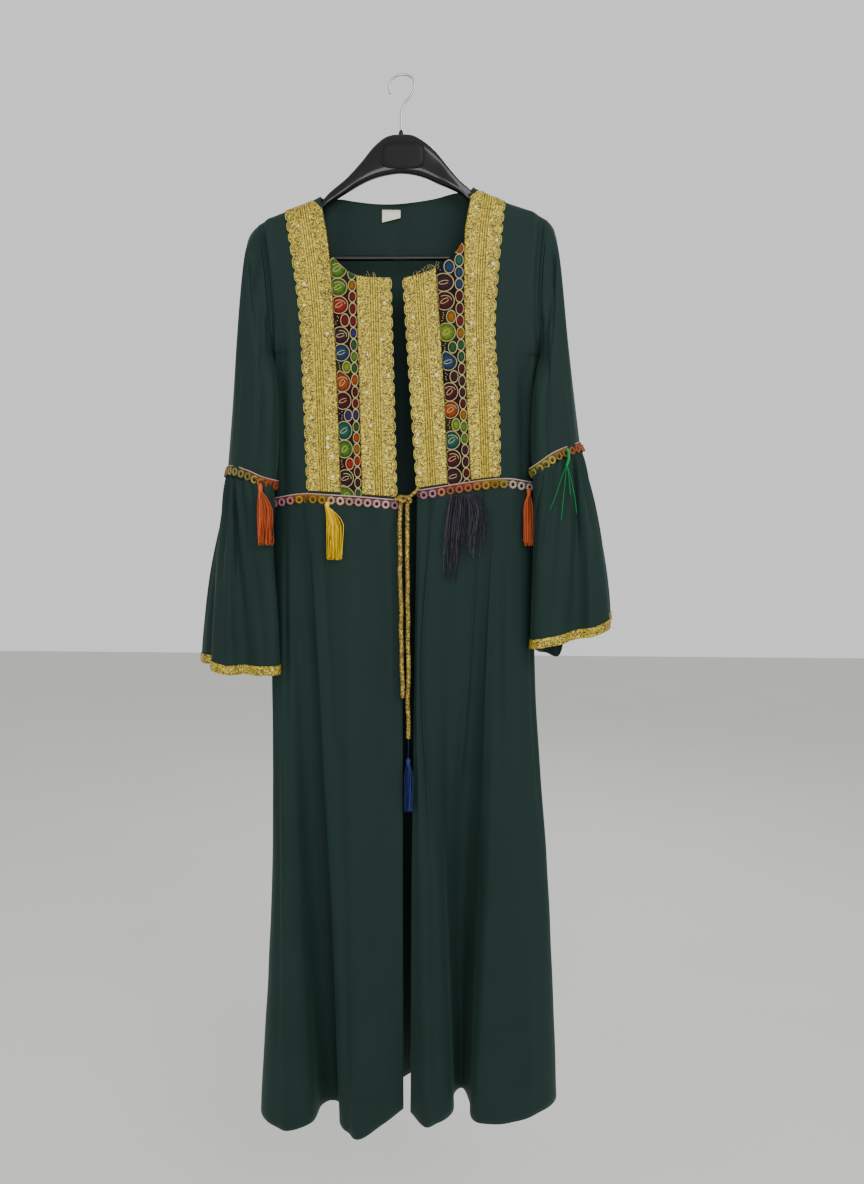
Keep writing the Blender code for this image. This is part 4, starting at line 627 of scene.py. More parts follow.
def grid_mesh(name, points, closed=False, cells=None, flip=False, tint=None, uv=None):
    """A mesh of four-cornered faces over a grid, with its UV map in metres and its colours."""
    n, m = points.shape[:2]
    ring = np.concatenate([points, points[:1]]) if closed else points
    u, v = (distances(ring), distances(ring, 1)) if uv is None else uv
    faces, uvs, used = [], [], {}
    for i in range(len(ring) - 1):
        for j in range(m - 1):
            if cells is not None and not cells[i, j]:
                continue
            corners = [(i, j), (i + 1, j), (i + 1, j + 1), (i, j + 1)]
            corners = corners[::-1] if flip else corners
            faces.append([used.setdefault((a % n, b), len(used)) for a, b in corners])
            uvs += [(u[a, b] * MM, v[a, b] * MM) for a, b in corners]
    mesh = bpy.data.meshes.new(name)
    places = list(used)
    mesh.from_pydata([Vector(points[a, b]) * MM for a, b in places], [], faces)
    layer = mesh.uv_layers.new(name="cloth")
    layer.data.foreach_set("uv", np.array(uvs, np.float32).ravel())
    if tint is not None:
        tint_points(mesh, [tint[a, b] for a, b in places])
    mesh.shade_smooth()
    return mesh


def tint_points(mesh, colours):
    """A colour for every point, which the finishes read as its tint."""
    values = np.ones((len(mesh.vertices), 4), np.float32)
    values[:, :3] = colours
    mesh.color_attributes.new("tint", "FLOAT_COLOR", "POINT").data.foreach_set("color", values.ravel())


def add_object(name, data):
    obj = bpy.data.objects.new(name, data)
    bpy.context.scene.collection.objects.link(obj)
    return obj


def place(name, mesh, paint, replaced=()):
    """A finished piece at the origin, on the frame, with its finish."""
    obj = add_object(name, mesh)
    if paint is not None:
        mesh.materials.clear()
        mesh.materials.append(paint)
    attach(obj, "root")
    if replaced:
        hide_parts(*replaced)
    return obj


def thicken(obj, thick, offset=-1.0):
    wall = obj.modifiers.new("wall", "SOLIDIFY")
    wall.thickness = thick
    wall.offset = offset
    return obj


# Cloth panels

SIDE_SHARES = (0, 0.07, 0.22, 0.5, 1)
LOW_ROWS = (0, 0.3, 0.6, 0.85, 1)
MID_ROWS = (0.12, 0.32, 0.6, 1)
TOP_ROWS = (0.4, 0.66, 0.82, 0.92, 0.98, 1)
NECK_ROW = len(LOW_ROWS) + len(MID_ROWS) - 1
LAST_ROW = NECK_ROW + len(TOP_ROWS)
BAND_OUT, BAND_IN, INSERT_IN, CENTRE = 4, 5, 7, 8
WAIST_ROW = 0.16


def row_height(j, waist, middle, top):
    """Height of a place down a bodice panel, between its waist, its neck level and its top."""
    rows = [waist + (UNDERARM_Z - waist) * f for f in LOW_ROWS]
    rows += [UNDERARM_Z + (middle - UNDERARM_Z) * f for f in MID_ROWS]
    rows += [middle + (top - middle) * f for f in TOP_ROWS]
    return between(rows, j)


def front_line(front, i, z):
    """Where a column of a bodice front stands at a height."""
    side = side_x(front.side, front.armhole, z)
    out, band, insert, centre = (
        through(rows, z) for rows in (front.band_out, front.band_in, front.insert_in, front.centre)
    )
    lines = [side + (out - side) * f for f in SIDE_SHARES] + [band, (band + insert) / 2, insert, centre]
    return between(lines, i)


def bodice_rows():
    return np.concatenate([np.linspace(0, 4, 37), np.linspace(4, 8, 37)[1:], np.linspace(8, 14, 37)[1:]])


def front_panel(front, crease):
    across, down = np.linspace(0, CENTRE, 65), bodice_rows()
    i, j = np.meshgrid(across, down, indexing="ij")
    corner = front.band_in[2][0]
    inner = i > BAND_IN + 1e-6
    x = front_line(front, i, np.full(i.shape, corner))
    for _ in range(6):
        middle = np.where(inner, through(front.neck, x), corner)
        top = np.where(inner, middle, shoulder_z(x))
        z = row_height(j, through(front.waist, x) + WAIST_GAP / 2, middle, top)
        x = front_line(front, i, z)
    y = np.minimum(-depth_at(x, z, -1), -SEAM_GAP / 2)
    cells = np.ones((len(across) - 1, len(down) - 1), bool)
    cells[np.ix_(across[:-1] >= BAND_IN - 1e-6, down[:-1] >= NECK_ROW - 1e-6)] = False
    panel = Panel(np.stack([x, y, z], -1), across, down, faces_front=True, cells=cells)
    panel.crease(FRONT_CREASES, crease)
    return panel


def back_panel(crease):
    across, down = np.linspace(0, 20, 101), bodice_rows()
    i, j = np.meshgrid(across, down, indexing="ij")
    left_neck, right_neck = LEFT_SHOULDER[-1][0], RIGHT_SHOULDER[0][0]
    shares = np.array((0, 0.02, 0.06, 0.13, 0.225)) / 0.225
    x, z = np.zeros(i.shape), np.full(i.shape, -400.0)
    for _ in range(6):
        z = row_height(j, through(BACK_WAIST, x) - 3.0, CORNER_Z, shoulder_z(x))
        left, right = side_x(LEFT_SIDE, LEFT_ARMHOLE, z), side_x(RIGHT_SIDE, RIGHT_ARMHOLE, z)
        x = left_neck + (right_neck - left_neck) * (i - 4) / 12
        x = np.where(i < 4, left + (left_neck - left) * np.interp(i, range(5), shares), x)
        x = np.where(i > 16, right + (right_neck - right) * np.interp(20 - i, range(5), shares), x)
    y = np.maximum(depth_at(x, z, 1), SEAM_GAP / 2)
    panel = Panel(np.stack([x, y, z], -1), across, down, faces_front=False)
    panel.crease(BACK_CREASES, crease)
    return panel


def waist_z(s, x):
    s = np.broadcast_to(s, np.shape(x))
    back = np.where(s >= RIGHT_SEAM, through(RIGHT_WAIST, x), through(BACK_WAIST, x))
    return np.where(s <= LEFT_SEAM, through(LEFT_WAIST, x), back)


def skirt_surface(s, share):
    """Points of the skirt, s folds along its section and a share of the way to the hem."""
    knots = []
    for k, fold in enumerate(FOLDS):
        face = -1 if k <= LEFT_SEAM or k >= RIGHT_SEAM else 1
        y = 0.0 if k in (LEFT_SEAM, RIGHT_SEAM) else face * float(depth_at(fold.waist_x, -600.0, face))
        top = float(waist_z(k, fold.waist_x))
        z = top + (HEM_Z - fold.drop - top) * share
        rows = (
            (-top, (fold.waist_x, y)), (-HIP_Z, (fold.hip_x, fold.hip_y)),
            (-KNEE_Z, (fold.knee_x, fold.knee_y)), (-HEM_Z, (fold.hem_x, fold.hem_y)),
        )
        knots.append(np.concatenate([through(rows, -z), z[:, None]], axis=1))
    points = spline(np.arange(len(FOLDS), dtype=float), np.array(knots), s)
    s = s[:, None]
    below = waist_z(s, points[..., 0]) - points[..., 2]
    front = np.where((s <= LEFT_SEAM) | (s >= RIGHT_SEAM), -1.0, 1.0)
    for gather in GATHERS:
        near = np.exp(-(((s - gather.place) / 0.45) ** 2))
        fade = np.minimum(below / 14.0, 1.0) * np.exp(-np.maximum(below - 14.0, 0.0) / gather.reach)
        points[..., 1] += front * gather.depth * near * fade
    return points


def skirt_panel(start, end, crease):
    across = np.linspace(start, end, int((end - start) * 12) + 1)
    down = np.concatenate([np.linspace(0, 0.12, 21), np.linspace(0.12, 1, 92)[1:]])
    points = skirt_surface(across, down)
    panel = Panel(points, across, down)
    middle = (20, 10, -1000)
    panel.face(((points - middle) * panel.normals * (1, 1, 0)).sum() > 0)
    panel.crease(SKIRT_CREASES, crease)
    panel.rumple(0.9, 0.012)
    return panel


def ring_points(ring, angle):
    """Points round a sleeve ring: 0 at its outer end, a quarter turn at the front."""
    c, s = squared_circle(angle, 2 / 2.3)
    half_x, half_z = (ring.outer_x - ring.inner_x) / 2, (ring.outer_z - ring.inner_z) / 2
    y = -(np.where(s > 0, ring.front, ring.back) * s + ring.lean * (1 - c) / 2)
    return np.stack([ring.outer_x - half_x * (1 - c), y, ring.outer_z - half_z * (1 - c)], -1)


def ring_middle(ring):
    return np.array(((ring.outer_x + ring.inner_x) / 2, -ring.lean / 2, (ring.outer_z + ring.inner_z) / 2))


def armhole_ring(front, angle):
    low, high = front.armhole[0][0], front.armhole[-1][0]
    z = (low + high) / 2 + (high - low) / 2 * np.cos(angle)
    x = through(front.armhole, z)
    y = np.where(np.sin(angle) > 0, -depth_at(x, z, -1), depth_at(x, z, 1))
    return np.stack([x, np.where(np.abs(np.sin(angle)) < 1e-6, 0.0, y), z], -1)


def sleeve_panel(front, rings, side, crease):
    across, down = np.linspace(0, 1, 97)[:-1], np.linspace(0, 5, 90)
    angle = across * math.tau
    rows = np.array([armhole_ring(front, angle)] + [ring_points(ring, angle) for ring in rings])
    points = spline(np.arange(len(rows), dtype=float), rows, down).transpose(1, 0, 2)
    points[:, 0, 0] += side * ARMHOLE_GAP
    points[:, -1, 2] += SEAM_GAP / 2
    panel = Panel(points, across, down, closed=True)
    panel.crease(SLEEVE_CREASES, crease)
    return panel


def flare_surface(ring, folds, s, t):
    """Points of a flare, s folds round it and a share of the way down."""
    count = len(folds)
    start = ring_points(ring, math.tau * s / count)[:, None]
    places = np.arange(-2.0, count + 3.0)
    corners = np.array([folds[int(k) % count] for k in places], float)
    end = spline(places, corners, s)[:, None]
    spread = 1 - (1 - t) ** FLARE_SPREAD
    point = start + (end - start) * np.stack([spread, spread, t], -1)[None]
    ripple = 1.6 * np.sin(math.tau * s)[:, None] * (np.minimum(t / 0.08, 1.0) * np.exp(-t * 5))[None]
    middle = np.broadcast_to(ring_middle(ring), point.shape).copy()
    middle[..., 2] = point[..., 2]
    return point + unit(point - middle) * ripple[..., None]


def flare_panel(ring, folds, crease):
    across, down = np.arange(len(folds) * 10) / 10, np.linspace(0, 1, 80)
    points = flare_surface(ring, folds, across, down)
    points[:, 0, 2] -= SEAM_GAP / 2
    panel = Panel(points, across, down, closed=True)
    panel.crease(FLARE_CREASES, crease)
    return panel


# Node trees and finishes

MADE = {}


def made(build, *given):
    """What a function builds, built once for the same values."""
    key = (build.__name__, given)
    if key not in MADE:
        MADE[key] = build(*given)
    return MADE[key]


def feed(tree, node, inputs):
    """Sets a node's inputs, by place or name, or joins them where the value is a socket."""
    for key, value in inputs.items():
        if isinstance(value, bpy.types.NodeSocket):
            tree.links.new(value, node.inputs[key])
        else:
            node.inputs[key].default_value = value
    return node


def put(tree, kind, inputs=None, **settings):
    """A new node with its settings and its inputs."""
    node = tree.nodes.new(kind)
    for name, value in settings.items():
        setattr(node, name, value)
    return feed(tree, node, inputs or {})


def maths(tree, kind, *values, clamp=False):
    node = put(tree, "ShaderNodeMath", dict(enumerate(values)), operation=kind, use_clamp=clamp)
    return node.outputs[0]


def times(tree, a, b):
    return maths(tree, "MULTIPLY", a, b)


def spot(tree):
    return put(tree, "ShaderNodeTexCoord").outputs["Object"]


def cloud(tree, where, scale, detail=2.0):
    inputs = {"Vector": where, "Scale": scale, "Detail": detail}
    return put(tree, "ShaderNodeTexNoise", inputs).outputs[0]


def mix(tree, factor, a, b, blend="MIX"):
    """Two colours mixed, each a socket or a plain colour."""
    a, b = ((*c, 1.0) if isinstance(c, tuple) else c for c in (a, b))
    node = put(tree, "ShaderNodeMix", {0: factor, 6: a, 7: b}, data_type="RGBA", blend_type=blend)
    return node.outputs[2]


def mix_value(tree, factor, a, b):
    return put(tree, "ShaderNodeMix", {0: factor, 2: a, 3: b}).outputs[0]


def scaled(colour, share, most=1.0):
    """A colour times a share, or times one share for each of its parts."""
    return tuple(min(c * k, most) for c, k in zip(colour, np.broadcast_to(share, 3)))


def finish(name, colour, rough=0.6, metal=0.0, sheen=0.0, coat=0.0, specular=0.5):
    """A new material, its node tree and its shader."""
    paint = bpy.data.materials.new(name)
    paint.use_nodes = True
    tree = paint.node_tree
    shader = feed(tree, tree.nodes["Principled BSDF"], {
        "Base Color": (*colour, 1.0), "Roughness": rough, "Metallic": metal, "Sheen Weight": sheen,
        "Sheen Roughness": 0.5, "Coat Weight": coat, "Specular IOR Level": specular,
    })
    return paint, tree, shader


def surface(tree, shader, inputs, height, strength, distance=0.0003):
    """The shader's inputs, and the fine relief of its surface."""
    relief = {"Strength": strength, "Distance": distance, "Height": height}
    feed(tree, shader, {**inputs, "Normal": put(tree, "ShaderNodeBump", relief).outputs[0]})


def effect(name, inputs, outputs):
    """A shader node group: its inputs, a place where they have no value, and its outputs."""
    group = bpy.data.node_groups.new(name, "ShaderNodeTree")
    for label, value in inputs.items():
        kind = "NodeSocketVector" if value is None else "NodeSocketFloat"
        socket = group.interface.new_socket(name=label, in_out="INPUT", socket_type=kind)
        if value is not None:
            socket.default_value = value
    for label in outputs:
        group.interface.new_socket(name=label, in_out="OUTPUT", socket_type="NodeSocketFloat")
    return group, group.nodes.new("NodeGroupInput").outputs, group.nodes.new("NodeGroupOutput")


def with_effect(tree, build, inputs):
    """The outputs of a shader node group placed in a material."""
    return put(tree, "ShaderNodeGroup", inputs, node_tree=made(build)).outputs


def grain():
    """Fine crepe grain and slow shade change, from object coordinates."""
    group, start, end = effect(
        "cloth_grain", {"Position": None, "Grain": 1500.0, "Patches": 14.0}, ("Height", "Shade"),
    )
    where, scale = start["Position"], start["Grain"]
    cells = put(group, "ShaderNodeTexVoronoi", {"Vector": where, "Scale": scale}).outputs[0]
    pebbles = maths(group, "ADD", cloud(group, where, scale), times(group, cells, 0.6))
    feed(group, end, {"Height": pebbles, "Shade": cloud(group, where, start["Patches"], 3.0)})
    return group


def glitter():
    """Metallic thread: a tone from dark pits to bright flecks, the brightest of them painted glints, and the
    height that goes with it.
    """
    group, start, end = effect("metal_thread", {"Position": None, "Flecks": 400.0}, ("Tone", "Height"))
    where, flecks = start["Position"], start["Flecks"]
    tones = []
    for scale, share in ((flecks, 0.62), (times(group, flecks, 2.3), 0.3)):
        cells = put(group, "ShaderNodeTexVoronoi", {"Vector": where, "Scale": scale})
        split = put(group, "ShaderNodeSeparateColor", {0: cells.outputs["Color"]})
        tones.append(times(group, split.outputs[0], share))
    slow = cloud(group, where, times(group, flecks, 0.22))
    drift = times(group, maths(group, "SUBTRACT", slow, 0.42), 0.4)
    tone = maths(group, "ADD", maths(group, "ADD", *tones), drift, clamp=True)
    feed(group, end, {"Tone": tone, "Height": tone})
    return group


def ribs():
    """A corded stripe along a band's middle: where it is, and its ribs from 0 between them to 1."""
    group, start, end = effect(
        "corded_stripe", {"Place": None, "Pitch": 0.0034, "Half width": 0.0075}, ("Mask", "Rib"),
    )
    across = put(group, "ShaderNodeSeparateXYZ", {0: start["Place"]}).outputs[1]
    turns = times(group, maths(group, "DIVIDE", across, start["Pitch"]), math.tau)
    rib = times(group, maths(group, "ADD", maths(group, "COSINE", turns), 1.0), 0.5)
    inside = maths(group, "LESS_THAN", maths(group, "ABSOLUTE", across), start["Half width"])
    feed(group, end, {"Mask": inside, "Rib": rib})
    return group


def crepe(colour):
    """Dull, finely pebbled crepe."""
    paint, tree, shader = finish("crepe", colour, 0.72, sheen=0.05, specular=0.16)
    pebbles = with_effect(tree, grain, {"Position": spot(tree)})
    inputs = {
        "Base Color": mix(tree, pebbles["Shade"], scaled(colour, 0.8), scaled(colour, 1.22)),
        "Roughness": maths(tree, "MULTIPLY_ADD", pebbles["Shade"], 0.16, 0.62),
        "Sheen Tint": (0.45, 0.85, 0.68, 1.0),
    }
    surface(tree, shader, inputs, pebbles["Height"], 0.35)
    return paint


# The tones of metallic thread, from its pits to its flecks, as shares of its colour. The brightest flecks,
# near white, are painted glints.
GOLD_TONES = (
    (0.2, (0.1, 0.09, 0.1)), (0.36, (0.34, 0.32, 0.35)), (0.51, (0.92, 0.88, 0.6)),
    (0.68, (1.72, 1.66, 0.45)), (0.88, (2.7, 3.0, 3.6)),
)


def gold(name, colour, flecks, corded):
    """Metallic thread, with a corded stripe down its middle where it is a band."""
    paint, tree, shader = finish(name, colour, 0.4, metal=0.35, specular=0.6)
    thread = with_effect(tree, glitter, {"Flecks": flecks, "Position": spot(tree)})
    tone, height = thread["Tone"], thread["Height"]
    if corded:
        place_on_band = put(tree, "ShaderNodeUVMap", uv_map="cloth").outputs[0]
        stripe = with_effect(tree, ribs, {"Place": place_on_band})
        # In the corded stripe the tone follows the ribs: a painted highlight on their crests and painted
        # shade between them.
        base = times(tree, maths(tree, "ADD", tone, 0.12), 0.62)
        tone = mix_value(tree, stripe["Mask"], tone, maths(tree, "MULTIPLY_ADD", stripe["Rib"], 0.3, base))
        height = mix_value(tree, stripe["Mask"], height, times(tree, stripe["Rib"], 2.2))
    # The ramp's brightest marks paint glints on the thread.
    ramp = put(tree, "ShaderNodeValToRGB", {0: tone})
    marks = ramp.color_ramp.elements
    while len(marks) < len(GOLD_TONES):
        marks.new(0.5)
    for mark, (position, shares) in zip(marks, GOLD_TONES):
        mark.position = position
        mark.color = (*scaled(colour, shares, 0.95), 1.0)
    rough = maths(tree, "MULTIPLY_ADD", tone, -0.25, 0.55)
    surface(tree, shader, {"Base Color": ramp.outputs[0], "Roughness": rough}, height, 0.7, 0.0007)
    return paint


def tint_at(tree):
    return put(tree, "ShaderNodeAttribute", attribute_name="tint").outputs["Color"]


def tinted(name, rough, fine, strength):
    """Thread or cloth whose colour comes with the piece."""
    paint, tree, shader = finish(name, (0.5, 0.5, 0.5), rough, specular=0.09)
    tint = tint_at(tree)
    pebbles = with_effect(tree, grain, {"Grain": fine, "Patches": 260.0, "Position": spot(tree)})
    dark = mix(tree, 1.0, tint, (0.62, 0.58, 0.56), "MULTIPLY")
    inputs = {"Base Color": mix(tree, pebbles["Shade"], dark, tint)}
    surface(tree, shader, inputs, pebbles["Height"], strength)
    return paint


def silk(name, colour):
    """Glossy tassel thread; each thread's own shade comes with the piece."""
    paint, tree, shader = finish(name, colour, 0.42, specular=0.12)
    drawn_out = put(tree, "ShaderNodeMapping", {"Scale": (1.0, 1.0, 0.06), "Vector": spot(tree)})
    streak = cloud(tree, drawn_out.outputs[0], 700.0)
    base = mix(tree, streak, scaled(colour, 0.55), scaled(colour, 1.25))
    surface(tree, shader, {"Base Color": mix(tree, 1.0, base, tint_at(tree), "MULTIPLY")}, streak, 0.3)
    return paint


def plain_thread(name, colour):
    """Dull thread of one colour."""
    paint, tree, shader = finish(name, colour, 0.55, specular=0.25)
    fine = cloud(tree, spot(tree), 1500.0)
    surface(tree, shader, {"Base Color": mix(tree, fine, scaled(colour, 0.7), colour)}, fine, 0.4)
    return paint


def plastic(name, colour, rough, coat=0.0):
    """Moulded plastic with faint ripples and rubbed patches."""
    paint, tree, shader = finish(name, colour, rough, coat=coat, specular=0.18)
    where = spot(tree)
    slow = cloud(tree, where, 24.0)
    ripples = maths(tree, "ADD", slow, times(tree, cloud(tree, where, 900.0), 0.05))
    worn = maths(tree, "MULTIPLY_ADD", slow, 0.22, rough - 0.08)
    surface(tree, shader, {"Roughness": worn}, ripples, 0.12, 0.001)
    return paint


def steel():
    """Bright drawn wire."""
    paint, tree, shader = finish("steel_wire", (0.44, 0.44, 0.47), 0.22, metal=1.0)
    fine = cloud(tree, spot(tree), 500.0, 3.0)
    worn = maths(tree, "MULTIPLY_ADD", fine, 0.25, 0.16)
    surface(tree, shader, {"Roughness": worn}, fine, 0.1, 0.0002)
    return paint


# Repeats and threads

def node_tree(name, sockets):
    """A Geometry Nodes tree with named inputs."""
    tree = bpy.data.node_groups.new(name, "GeometryNodeTree")
    tree.interface.new_socket(name="Geometry", in_out="OUTPUT", socket_type="NodeSocketGeometry")
    for label, kind in sockets.items():
        tree.interface.new_socket(name=label, in_out="INPUT", socket_type=f"NodeSocket{kind}")
    return tree, tree.nodes.new("NodeGroupInput").outputs


def finish_tree(tree, geometry, start):
    """The tree's end: real, smooth geometry with its material."""
    real = put(tree, "GeometryNodeRealizeInstances", {0: geometry})
    smooth = put(tree, "GeometryNodeSetShadeSmooth", {0: real.outputs[0]})
    inputs = {"Geometry": smooth.outputs[0], "Material": start["Material"]}
    put(tree, "NodeGroupOutput", {"Geometry": put(tree, "GeometryNodeSetMaterial", inputs).outputs[0]})
    return tree


def thread_tree():
    """Round threads along a mesh's edges, thinner at their far ends."""
    tree, start = node_tree("thread_on_lines", {
        "Lines": "Geometry", "Thickness": "Float", "Sides": "Int", "Tip": "Float", "Material": "Material",
    })
    curve = put(tree, "GeometryNodeMeshToCurve", {0: start["Lines"]}).outputs[0]
    reach = put(tree, "GeometryNodeSplineParameter").outputs["Factor"]
    taper = put(tree, "ShaderNodeMapRange", {
        "Value": reach, "From Min": 0.6, "To Min": 1.0, "To Max": start["Tip"],
    }).outputs[0]
    line = put(tree, "GeometryNodeSetCurveRadius", {"Curve": curve, "Radius": taper}).outputs[0]
    half = times(tree, start["Thickness"], 0.5)
    circle = put(tree, "GeometryNodeCurvePrimitiveCircle", {"Resolution": start["Sides"], "Radius": half})
    tube = put(tree, "GeometryNodeCurveToMesh", {
        "Curve": line, "Profile Curve": circle.outputs[0], "Fill Caps": True,
    })
    return finish_tree(tree, tube.outputs[0], start)


def repeat_tree():
    """A shape set on points, its Z along each point's facing and its X along each point's way."""
    tree, start = node_tree("shape_on_points", {
        "Points": "Geometry", "Shape": "Object", "Size": "Float", "Material": "Material",
    })
    shape = put(tree, "GeometryNodeObjectInfo", {0: start["Shape"]}).outputs["Geometry"]
    turned = {}
    for name, axis, pivot in (("facing", "Z", "AUTO"), ("way", "X", "Z")):
        turned["Vector"] = named(tree, name, "FLOAT_VECTOR")
        align = put(tree, "FunctionNodeAlignRotationToVector", turned, axis=axis, pivot_axis=pivot)
        turned = {"Rotation": align.outputs[0]}
    scale = times(tree, named(tree, "share", "FLOAT"), start["Size"])
    shapes = put(tree, "GeometryNodeInstanceOnPoints", {
        "Points": start["Points"], "Instance": shape, "Scale": scale, **turned,
    })
    return finish_tree(tree, shapes.outputs[0], start)


def named(tree, name, kind):
    return put(tree, "GeometryNodeInputNamedAttribute", {"Name": name}, data_type=kind).outputs["Attribute"]


def plain_mesh(obj):
    """The mesh that an object's modifiers make; the object is removed."""
    graph = bpy.context.evaluated_depsgraph_get()
    mesh = bpy.data.meshes.new_from_object(obj.evaluated_get(graph))
    bpy.data.objects.remove(obj)
    return mesh


def run_tree(name, mesh, tree, values):
    """The plain mesh that a tree makes from a mesh, with its inputs set by their identifiers."""
    obj = add_object(f"{name}_source", mesh)
    nodes = obj.modifiers.new("nodes", "NODES")
    nodes.node_group = tree
    for item in tree.interface.items_tree:
        if item.item_type == "SOCKET" and item.in_out == "INPUT" and item.name in values:
            nodes[item.identifier] = values[item.name]
    result = plain_mesh(obj)
    result.name = name
    return result


def threads(name, lines, thick, paint, sides=5, tip=0.6, replaced=(), shades=None):
    """Threads along lines of points, as one plain piece, each with its own shade."""
    shades = [1.0] * len(lines) if shades is None else shades
    points, edges, tint = [], [], []
    for line, shade in zip(lines, shades):
        edges += [(len(points) + q, len(points) + q + 1) for q in range(len(line) - 1)]
        points += [Vector(p) * MM for p in line]
        tint += [(shade,) * 3] * len(line)
    mesh = bpy.data.meshes.new(name)
    mesh.from_pydata(points, edges, [])
    tint_points(mesh, tint)
    values = {"Thickness": thick, "Sides": sides, "Tip": tip, "Material": paint}
    return place(name, run_tree(name, mesh, made(thread_tree), values), None, replaced)


def repeated(name, points, facing, way, share, tint, shape, size, paint):
    """A shape repeated over points, as one plain piece."""
    mesh = bpy.data.meshes.new(f"{name}_points")
    mesh.from_pydata([Vector(p) * MM for p in points], [], [])
    for label, kind, key, values in (
        ("facing", "FLOAT_VECTOR", "vector", facing), ("way", "FLOAT_VECTOR", "vector", way),
        ("share", "FLOAT", "value", share),
    ):
        layer = mesh.attributes.new(label, kind, "POINT")
        layer.data.foreach_set(key, np.asarray(values, np.float32).ravel())
    tint_points(mesh, tint)
    template = add_object(f"{name}_shape", shape)
    values = {"Shape": template, "Size": size, "Material": paint}
    result = run_tree(name, mesh, made(repeat_tree), values)
    bpy.data.objects.remove(template)
    return place(name, result, None)


def disc_shape():
    """A sequin one metre wide before it is scaled: a shallow cup with a rim."""
    bm = bmesh.new()
    bmesh.ops.create_circle(bm, cap_ends=True, segments=10, radius=0.5)
    bmesh.ops.inset_region(bm, faces=bm.faces[:], thickness=0.16, depth=-0.1)
    disc = bpy.data.meshes.new("sequin")
    bm.to_mesh(disc)
    bm.free()
    return plain_mesh(thicken(add_object("sequin", facing_out(disc)), 0.1, 1.0))


def ringlet_shape(thread):
    """A loop of thread one metre wide before it is scaled, hanging along -X."""
    a, b = math.tau * np.arange(14)[:, None] / 14, math.tau * np.arange(6)[None] / 6
    half = thread / 2 * (1 + 0.18 * np.sin(a * 7))
    out, rise = half * np.cos(b), half * np.sin(b)
    points = np.stack([-0.5 + (0.5 + out) * np.cos(a), (0.46 + out) * np.sin(a), rise], -1)
    return tube_mesh("ringlet", points / MM, closed=True)


# Ropes and tubes

def facing_out(mesh, fill=False):
    """The mesh with its faces pointing out, and its holes filled if asked."""
    bm = bmesh.new()
    bm.from_mesh(mesh)
    if fill:
        bmesh.ops.holes_fill(bm, edges=bm.edges, sides=0)
    bmesh.ops.recalc_face_normals(bm, faces=bm.faces)
    bm.to_mesh(mesh)
    bm.free()
    mesh.shade_smooth()
    return mesh


def along(path):
    """Two directions across a path that don't spin."""
    ways = unit(np.gradient(path, axis=0))
    side = np.cross(ways[0], (0, 1, 0))
    if np.linalg.norm(side) < 0.1:
        side = np.cross(ways[0], (1, 0, 0))
    sides = []
    for way in ways:
        side = unit(side - way * (side @ way))
        sides.append(side)
    return np.array(sides), np.cross(ways, sides)


def even(route, step):
    """Points at an even step along the smooth curve through a route, and its length."""
    route = np.array(route, float)
    knots, marks = np.arange(len(route), dtype=float), np.linspace(0, len(route) - 1, 1200)
    run = distances(spline(knots, route, marks))
    count = max(int(run[-1] / step), 6)
    places = np.interp(np.linspace(0, run[-1], count + 1), run, marks)
    return spline(knots, route, places), float(run[-1])


def tube_mesh(name, rings, closed=False):
    """A body from rings of points, with flat ends or joined into a loop."""
    count, sides = rings.shape[:2]
    ends = [tuple(range(sides))[::-1], tuple((count - 1) * sides + q for q in range(sides))]
    faces = [] if closed else ends
    for k in range(count if closed else count - 1):
        for q in range(sides):
            r, s = (q + 1) % sides, (k + 1) % count
            faces.append((k * sides + q, k * sides + r, s * sides + r, s * sides + q))
    mesh = bpy.data.meshes.new(name)
    mesh.from_pydata((rings.reshape(-1, 3) * MM).tolist(), [], faces)
    return facing_out(mesh)


def rope_mesh(name, path, radius, plies=0, pitch=14.0, sides=14, tint=None):
    """A round tube on a path, or a twisted cord of plies, with its ends closed."""
    side, up = along(path)
    angle = math.tau * np.arange(sides) / sides
    bulge = np.full((len(path), sides), radius)
    if plies:
        twist = angle[None] - math.tau * distances(path)[:, None] / pitch
        bulge = radius * (0.84 + 0.16 * np.abs(np.cos(plies / 2 * twist)))
    out = side[:, None] * np.cos(angle)[:, None] + up[:, None] * np.sin(angle)[:, None]
    mesh = tube_mesh(name, np.asarray(path)[:, None] + out * bulge[..., None])
    if tint is not None:
        tint_points(mesh, np.repeat(tint, sides, axis=0))
    return mesh


def turned_mesh(name, centre, rows, sides=20, flutes=0.0):
    """A turned solid about a vertical line, from rows of radius and height, lightly fluted."""
    angle, rows = math.tau * np.arange(sides) / sides, np.array(rows, float)
    radius = rows[:, :1] * (1 + flutes * (np.arange(sides) % 2))
    height = np.broadcast_to(rows[:, 1:], radius.shape)
    return tube_mesh(name, np.stack([radius * np.cos(angle), radius * np.sin(angle), height], -1) + centre)


def joined(name, meshes):
    """Several meshes as one."""
    bm = bmesh.new()
    for mesh in meshes:
        bm.from_mesh(mesh)
    whole = bpy.data.meshes.new(name)
    bm.to_mesh(whole)
    bm.free()
    whole.shade_smooth()
    return whole


# Operators

PANELS = {}


